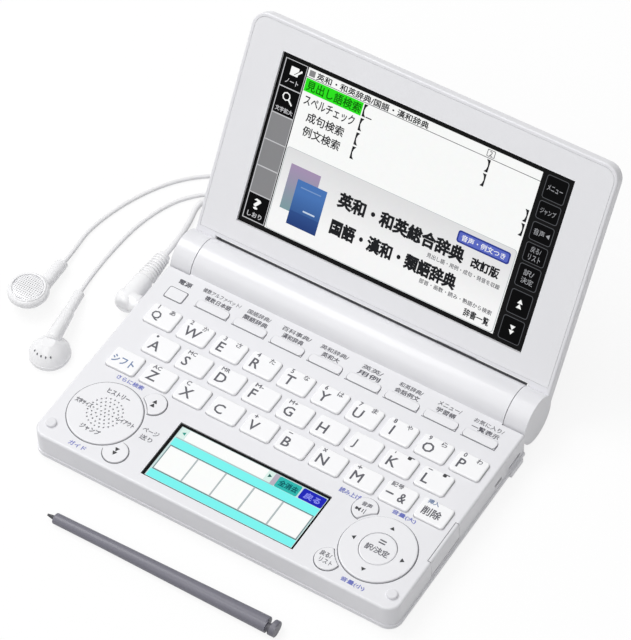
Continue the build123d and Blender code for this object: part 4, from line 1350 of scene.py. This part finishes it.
@dataclass
class MainDisplay:
    """The lid's screen: side icons, a search page with one bright row, and soft keys.

    The sheet's corner is the window's lower left corner on the glass, and its up
    direction follows the lid as it stands open.
    """

    corner: Triple = (-59.25, 57.739, 23.188)
    up: Triple = (0.0, 0.52547, 0.85081)
    rows: tuple[tuple[str, float, float, float], ...] = (
        ("見出し語検索", 23.0, 58.5, 22.4),
        ("スペルチェック", 22.7, 53.1, 20.8),
        ("成句検索", 22.7, 47.5, 15.4),
        ("例文検索", 22.7, 42.1, 15.4),
    )
    soft_keys: tuple[tuple[float, float, str, str], ...] = (
        (56.2, 65.1, "メニュー", ""),
        (48.4, 55.3, "ジャンプ", ""),
        (40.2, 47.2, "音声", ""),
        (32.0, 39.3, "戻る/", "リスト"),
        (22.4, 31.1, "訳/", "決定"),
    )

    def side_icons(self) -> list[Union[Word, Patch]]:
        """Give the column of six small fields at the left."""
        pale = Lit("lit_pale_grey_dots", "#C9C9CC")
        marks: list[Union[Word, Patch]] = [
            Patch(1.2, 1.85, 10.4, 64.9, pale, 1),
            Patch(1.55, 54.5, 10.15, 64.65, DARK_DOTS, 2),
            Patch(1.55, 44.15, 10.15, 54.1, DARK_DOTS, 2),
            Patch(1.55, 33.5, 10.15, 43.7, MID_DOTS, 2),
            Patch(1.55, 23.05, 10.15, 33.1, MID_DOTS, 2),
            Patch(1.55, 12.4, 10.15, 22.6, MID_DOTS, 2),
            Patch(1.55, 2.2, 10.15, 12.0, DARK_DOTS, 2),
            Patch(4.2, 59.4, 7.5, 62.7, WHITE_DOTS, 3, 0.2),
            Patch(6.0, 60.6, 9.3, 61.3, WHITE_DOTS, 3, 0.1, 45.0),
            Patch(5.6, 60.9, 8.6, 61.15, DARK_DOTS, 4, 0.0, 45.0),
            Word("ノート", 5.9, 57.0, 1.9, 5.4, pale, lift=0.1, bold=0.02),
            Word("O", 5.4, 51.2, 3.3, 3.3, WHITE_DOTS, lift=0.1),
            Patch(6.2, 49.1, 8.6, 49.7, WHITE_DOTS, 4, 0.2, -45.0),
            Word("文字拡大", 5.85, 46.0, 1.9, 7.2, pale, lift=0.1, bold=0.02),
            Word("?", 5.7, 8.5, 4.2, 3.0, WHITE_DOTS, lift=0.1, bold=0.02),
            Word("しおり", 5.8, 4.2, 2.0, 6.0, pale, lift=0.1, bold=0.02),
        ]
        return marks

    def page(self) -> list[Union[Word, Patch]]:
        """Give the white page with its header, its search rows and the lower panel."""
        row_green = Lit("dark_green_text_dots", "#0B6A06")
        marks: list[Union[Word, Patch]] = [
            Patch(10.8, 1.75, 106.0, 64.9, WHITE_DOTS, 1),
            Patch(10.8, 61.2, 106.0, 61.5, MID_DOTS, 2),
            Patch(11.5, 61.9, 13.9, 64.2, MID_DOTS, 2),
            Word("英和・和英辞典/国語・漢和辞典", 37.6, 63.0, 2.7, 46.0, TEXT_DOTS, lift=0.06, bold=0.02),
            Patch(84.2, 61.8, 87.4, 64.5, MID_DOTS, 2, 0.3),
            Patch(84.5, 62.1, 87.1, 64.2, WHITE_DOTS, 3, 0.2),
            Word("2", 85.8, 63.15, 1.7, 1.2, TEXT_DOTS, lift=0.1),
            Patch(11.0, 56.0, 34.7, 61.0, Lit("lit_green_dots", "#2DE41F"), 2),
            Patch(36.8, 56.2, 39.2, 56.6, TEXT_DOTS, 2),
        ]
        for i, (text, x, y, wide) in enumerate(self.rows):
            ink = TEXT_DOTS if i else row_green
            marks.append(Word(text, x, y, 3.9, wide, ink, lift=0.07, bold=0.015))
            far = 85.7 if i < 2 else 104.6
            marks.append(Word("【", 35.9, y, 4.7, 1.5, TEXT_DOTS, lift=0.07))
            marks.append(Word("】", far, y, 4.7, 1.5, TEXT_DOTS, lift=0.07))
        return marks

    def lower_panel(self) -> list[Union[Word, Patch]]:
        """Give the pale panel with its two plain book shapes and the titles."""
        low, high = self.corner[2], self.corner[2] + 0.85081 * 34
        panel = Lit("lit_panel_dots", "#FBFBFB", "#E2E2E3", low + 8, high)
        back_book = Lit("mauve_book_dots", "#7F9DA3", "#A794B4", low + 10, low + 24)
        front_book = Lit("blue_book_dots", "#2B4A82", "#4B77B8", low + 6, low + 17)
        return [
            Patch(11.0, 1.9, 105.7, 34.3, GREY_DOTS, 2, 1.2),
            Patch(11.25, 2.1, 105.45, 34.15, panel, 3, 1.1),
            Patch(14.4, 11.4, 26.8, 28.8, back_book, 4),
            Patch(18.5, 6.8, 30.8, 24.3, front_book, 5),
            Patch(18.5, 6.8, 30.8, 12.2, Lit("dark_blue_book_dots", "#27407A", "#31508C", low + 6, low + 10), 6),
            Patch(23.6, 13.3, 28.6, 13.9, Lit("lit_pale_blue_dots", "#C9D8EA"), 7, 0.25),
            Patch(20.4, 21.6, 28.9, 22.0, Lit("lit_soft_blue_dots", "#7E9CCB"), 7, 0.1),
            Patch(82.7, 27.9, 103.9, 32.5, Lit("navy_tag_dots", "#2E3D92"), 4, 1.0),
            Patch(83.3, 28.5, 103.3, 31.9, Lit("violet_tag_dots", "#5E6CC4"), 5, 0.7),
            Word("音声・例文つき", 93.3, 30.2, 2.3, 17.6, WHITE_DOTS, lift=0.15, bold=0.01),
            Word("英和・和英総合辞典", 61.4, 23.9, 6.2, 52.0, TEXT_DOTS, lift=0.1, bold=0.045),
            Word("改訂版", 96.1, 23.2, 4.2, 11.4, TEXT_DOTS, lift=0.1, bold=0.045),
            Word("見出し語・用例・成句・発音を収録", 88.6, 18.7, 1.9, 29.6, FAINT_DOTS, lift=0.1, bold=0.015),
            Word("国語・漢和・類語辞典", 61.4, 13.2, 6.1, 52.0, TEXT_DOTS, lift=0.1, bold=0.045),
            Word("部首・画数・読み・熟語から検索", 88.6, 8.6, 1.9, 29.6, FAINT_DOTS, lift=0.1, bold=0.015),
            Word("辞書一覧", 98.3, 4.9, 3.1, 10.3, TEXT_DOTS, lift=0.1, bold=0.02),
        ]

    def side_keys(self) -> list[Union[Word, Patch]]:
        """Give the column of outlined soft keys at the right."""
        line = Lit("dim_outline_dots", "#55565A")
        text = Lit("dim_text_dots", "#A6A7AB")
        marks: list[Union[Word, Patch]] = []
        arrows = ((11.8, 21.0, 0.0), (1.5, 10.7, 180.0))
        spans = [(low, high) for low, high, _, _ in self.soft_keys]
        spans += [(low, high) for low, high, _ in arrows]
        for low, high in spans:
            marks.append(Patch(107.9, low, 116.5, high, line, 1, 1.0))
            marks.append(Patch(108.15, low + 0.25, 116.25, high - 0.25, DARK_DOTS, 2, 0.8))
        for low, high, first, second in self.soft_keys:
            middle = (low + high) / 2
            if second:
                marks.append(Word(first, 112.1, middle + 1.5, 2.3, 4.0, text, lift=0.07))
                marks.append(Word(second, 112.3, middle - 1.5, 2.3, 4.8, text, lift=0.07))
            elif first == "音声":
                marks.append(Word(first, 111.2, middle, 2.4, 4.2, text, lift=0.07))
                marks.append(Word("▲", 114.6, middle, 1.4, 1.8, text, 90.0, lift=0.07))
            else:
                marks.append(Word(first, 112.1, middle, 2.2, 6.0, text, lift=0.07))
        for low, high, turn in arrows:
            middle = (low + high) / 2
            for step in (-0.9, 0.9):
                marks.append(Word("▲", 112.3, middle + step, 1.7, 2.1, WHITE_DOTS, turn, lift=0.07))
        return marks

    def build(self) -> None:
        """Lay the screen's four groups on its glass."""
        sheet = Sheet(self.corner, up=self.up)
        groups = {
            "display_side_icons": self.side_icons(),
            "display_search_page": self.page(),
            "display_lower_panel": self.lower_panel(),
            "display_soft_keys": self.side_keys(),
        }
        for name, marks in groups.items():
            lay(name, marks, sheet, "lid")


# ------------------------------------------------------------------ earphones
@dataclass
class Earphones:
    """What is small on the earphones: grille, rims, painted shade for the vents and the ribs of the reliefs."""

    up_bud: tuple[float, float] = (-114.4, 1.9)
    down_bud: tuple[float, float] = (-93.7, -14.9)
    depth: float = 8.2
    grille_radius: float = 5.9
    mesh_pitch: float = 0.85

    def mesh_disc(self) -> Shape:
        """Punch a thin round plate full of small holes, for the earbud that faces up."""
        clear_selection()
        bpy.ops.mesh.primitive_grid_add(x_subdivisions=15, y_subdivisions=15, size=15 * self.mesh_pitch * MM)
        disc = bpy.context.object
        disc.name = "earbud_mesh"
        reach = self.grille_radius * MM
        pick_faces(disc, lambda middle, normal: middle.length > reach)
        bpy.ops.mesh.delete(type="FACE")
        bpy.ops.mesh.select_all(action="SELECT")
        bpy.ops.mesh.inset(thickness=0.24 * MM, use_individual=True)
        bpy.ops.mesh.delete(type="FACE")
        bpy.ops.object.mode_set(mode="OBJECT")
        apply_modifier(disc, "SOLIDIFY", {"thickness": 0.2 * MM})
        for point in disc.data.vertices:
            point.co.z += 0.35 * MM * (1 - (point.co.x**2 + point.co.y**2) / reach**2)
        settle(disc, Matrix.Translation((self.up_bud[0] * MM, self.up_bud[1] * MM, (self.depth + 0.12) * MM)))
        return carry(paint(disc, EARPHONE), "earphones")

    def backing(self) -> Shape:
        """Lay the dark felt under the mesh."""
        x, y = self.up_bud
        reach = self.grille_radius
        felt = Patch(x - reach, y - reach, x + reach, y + reach, FELT, 1, reach * 0.999)
        return lay("earbud_felt", [felt], Sheet((0, 0, self.depth)), "earphones")

    def vents(self) -> Shape:
        """Set five flat dark patches of painted shade round the domed back of the earbud that faces down, where
        its vent slots are.
        """
        slots = []
        for i in range(5):
            angle = math.radians(19.4 * i - 126)
            out = Vector((math.cos(angle), math.sin(angle), 0))
            across = Vector((-math.sin(angle), math.cos(angle), 0))
            up = (Vector((0, 0, 1)) * 0.80 - out * 0.60).normalized()
            spot = Vector((*self.down_bud, 0)) + out * 5.35 + Vector((0, 0, 5.85))
            sheet = Sheet(tuple(spot), tuple(across), tuple(up))
            slots.append(Patch(-0.27, -0.45, 0.27, 0.45, VENT_SHADE, 2, 0.25).build(sheet))
        return carry(join("earbud_vent_shade", slots), "earphones")

    def build(self) -> None:
        """Make the earphones' small pieces."""
        self.backing()
        self.mesh_disc()
        self.vents()
        x, y = self.up_bud
        rims = [
            ring("rim", (x, y, self.depth + 0.1), (0, 0, 1), self.grille_radius + 0.4, 0.7, 0.6, EARPHONE),
            ring("seam_up", (x, y, self.depth * 0.72), (0, 0, 1), 7.55, 0.3, 0.5, SHEATH),
            ring("seam_down", (*self.down_bud, self.depth * 0.28), (0, 0, 1), 7.55, 0.3, 0.5, SHEATH),
        ]
        carry(join("earbud_rims", rims), "earphones")
        ribs = [
            ring("rib", (-81.2, 29.9 + 1.35 * i, 6.2), (0, 1, 0), 3.25 - 0.1 * i, 0.6, 0.75, EARPHONE)
            for i in range(8)
        ]
        ribs.append(ring("collar_lip", (-75.4, 16.5, 6.2), (1, 0, 0), 2.7, 0.5, 0.6, EARPHONE))
        carry(join("plug_relief_ribs", ribs), "earphones")
        boots = [
            sleeve("plug_boot", (-81.2, 13.2, 6.2), (-81.2, 28.6, 6.2), (3.95, 3.7), 1.8, EARPHONE),
            sleeve("plug_heel", (-85.0, 16.9, 6.2), (-75.3, 16.9, 6.2), (3.8, 3.7), 1.6, EARPHONE),
            sleeve("bud_boot", (-93.7, -13.0, 7.0), (-97.4, 2.6, 4.2), (2.9, 2.3), 0.9, EARPHONE),
            sleeve("bud_stem", (-112.3, 7.4, 3.9), (-113.15, 20.6, 2.75), (2.6, 2.45), 0.8, EARPHONE),
        ]
        carry(join("earphone_boots", boots), "earphones")
        ends = [
            ring("lead_end", (22.4, 64.95, 1.5), (1, 0, 0), 1.35, 0.5, 0.7, SHEATH),
            ring("left_end", (37.7, 63.35, 1.35), (1, 0, 0), 1.05, 0.4, 0.7, SHEATH),
            ring("right_end", (37.7, 66.55, 1.35), (1, 0, 0), 1.05, 0.4, 0.7, SHEATH),
        ]
        carry(join("splitter_ends", ends), "earphones")


@dataclass
class StylusBarrel:
    """The stylus's oval barrel, which is a little wider than it is high and ends at the neck."""

    front: Triple = (-50.6, -73.66, 1.93)
    back: Triple = (36.6, -72.6, 2.41)
    half_widths: tuple[float, float] = (2.15, 2.75)
    oval: float = 0.87

    def build(self) -> None:
        """Make the barrel and the head round the CAD stylus."""
        barrel = sleeve(
            "stylus_barrel", self.front, self.back, self.half_widths, 0.45, STYLUS, self.oval
        )
        head = sleeve(
            "stylus_head", (38.3, -72.57, 2.41), (40.45, -72.55, 2.41), (2.75, 2.75), 0.5, STYLUS, self.oval
        )
        carry(join("stylus_barrel", [barrel, head]), "pen")


# ------------------------------------------------------------------ stage
@dataclass
class Studio:
    """A pale floor, a pale surround and two soft lamps."""

    floor_side: float = 4.0
    surround: float = 0.4
    key_power: float = 10.5
    fill_power: float = 7.0

    def backdrop_share(self, tree: bpy.types.NodeTree) -> bpy.types.NodeSocket:
        """Give 1 for what the camera, a mirror or glass sees directly, and 0 for light."""
        path = add_node(tree, "ShaderNodeLightPath")
        seen = add_node(
            tree,
            "ShaderNodeMath",
            {"operation": "MAXIMUM"},
            {0: path.outputs["Is Camera Ray"], 1: path.outputs["Is Glossy Ray"]},
        )
        every = add_node(
            tree,
            "ShaderNodeMath",
            {"operation": "MAXIMUM"},
            {0: seen.outputs[0], 1: path.outputs["Is Transmission Ray"]},
        )
        return every.outputs[0]

    def floor(self) -> None:
        """Lay the floor: a matt sweep that stays white and keeps a faint shadow."""
        clear_selection()
        bpy.ops.mesh.primitive_plane_add(size=self.floor_side, location=(0, 0, -0.00002))
        plane = bpy.context.object
        plane.name = "studio_floor"
        settle(plane)
        material, tree = new_material("matt_paper_floor")
        share = self.backdrop_share(tree)
        part = add_node(tree, "ShaderNodeMath", {"operation": "MULTIPLY", 1: 0.86}, {0: share})
        grey = add_node(
            tree,
            "ShaderNodeMix",
            {"data_type": "RGBA", 6: linear("#CBCBCD"), 7: linear("#FFFFFF")},
            {0: share},
        )
        paper = add_node(
            tree, "ShaderNodeBsdfPrincipled", {"Roughness": 0.9}, {"Base Color": grey.outputs[2]}
        )
        white = add_node(tree, "ShaderNodeEmission", {"Strength": 1.0})
        both = add_node(
            tree,
            "ShaderNodeMixShader",
            None,
            {0: part.outputs[0], 1: paper.outputs["BSDF"], 2: white.outputs["Emission"]},
        )
        add_node(tree, "ShaderNodeOutputMaterial", links={"Surface": both.outputs["Shader"]})
        plane.data.materials.append(material)

    def sky(self) -> None:
        """Surround the scene with even light that shows as plain white."""
        world = bpy.data.worlds.new("studio_surround")
        world.use_nodes = True
        tree = world.node_tree
        tree.nodes.clear()
        share = self.backdrop_share(tree)
        level = add_node(
            tree,
            "ShaderNodeMapRange",
            {"To Min": self.surround, "To Max": 1.0},
            {"Value": share},
        )
        light = add_node(
            tree,
            "ShaderNodeBackground",
            {"Color": (1.0, 1.0, 1.0, 1.0)},
            {"Strength": level.outputs["Result"]},
        )
        add_node(tree, "ShaderNodeOutputWorld", links={"Surface": light.outputs["Background"]})
        bpy.context.scene.world = world

    def lamp(self, name: str, place: Triple, side: float, power: float) -> None:
        """Hang a square soft lamp that faces the middle of the case.

        Args:
            name: the lamp's name.
            place: where it hangs, in metres.
            side: its side in metres.
            power: its power in watts.
        """
        data = bpy.data.lights.new(name, "AREA")
        data.size = side
        data.energy = power
        lamp = bpy.data.objects.new(name, data)
        aim = Vector((0.0, 0.02, 0.03)) - Vector(place)
        lamp.matrix_world = Matrix.Translation(place) @ aim.to_track_quat("-Z", "Y").to_matrix().to_4x4()
        bpy.context.scene.collection.objects.link(lamp)

    def build(self) -> None:
        """Set up the floor, the surround and the lamps."""
        self.floor()
        self.sky()
        self.lamp("key_lamp", (-0.75, 0.1, 1.25), 0.8, self.key_power)
        self.lamp("fill_lamp", (-0.1, -0.9, 1.3), 1.2, self.fill_power)
        bpy.context.scene.view_settings.view_transform = "Standard"


def main() -> None:
    """Build the scene in order."""
    logging.basicConfig(level=logging.INFO, format="%(message)s")
    for part in (Viewpoint(), EarphoneCords()):
        part.build()
    CaseWork().dress()
    LOG.info("all CAD pieces have their finish")
    for part in (PaintedGapShade(), LetterKeys(), DeckLettering(), WritingDisplay(), MainDisplay(), Earphones(), StylusBarrel()):
        part.build()
        LOG.info("%s done", type(part).__name__)
    Studio().build()
    clear_selection()
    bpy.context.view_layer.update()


if __name__ == "__main__":
    main()
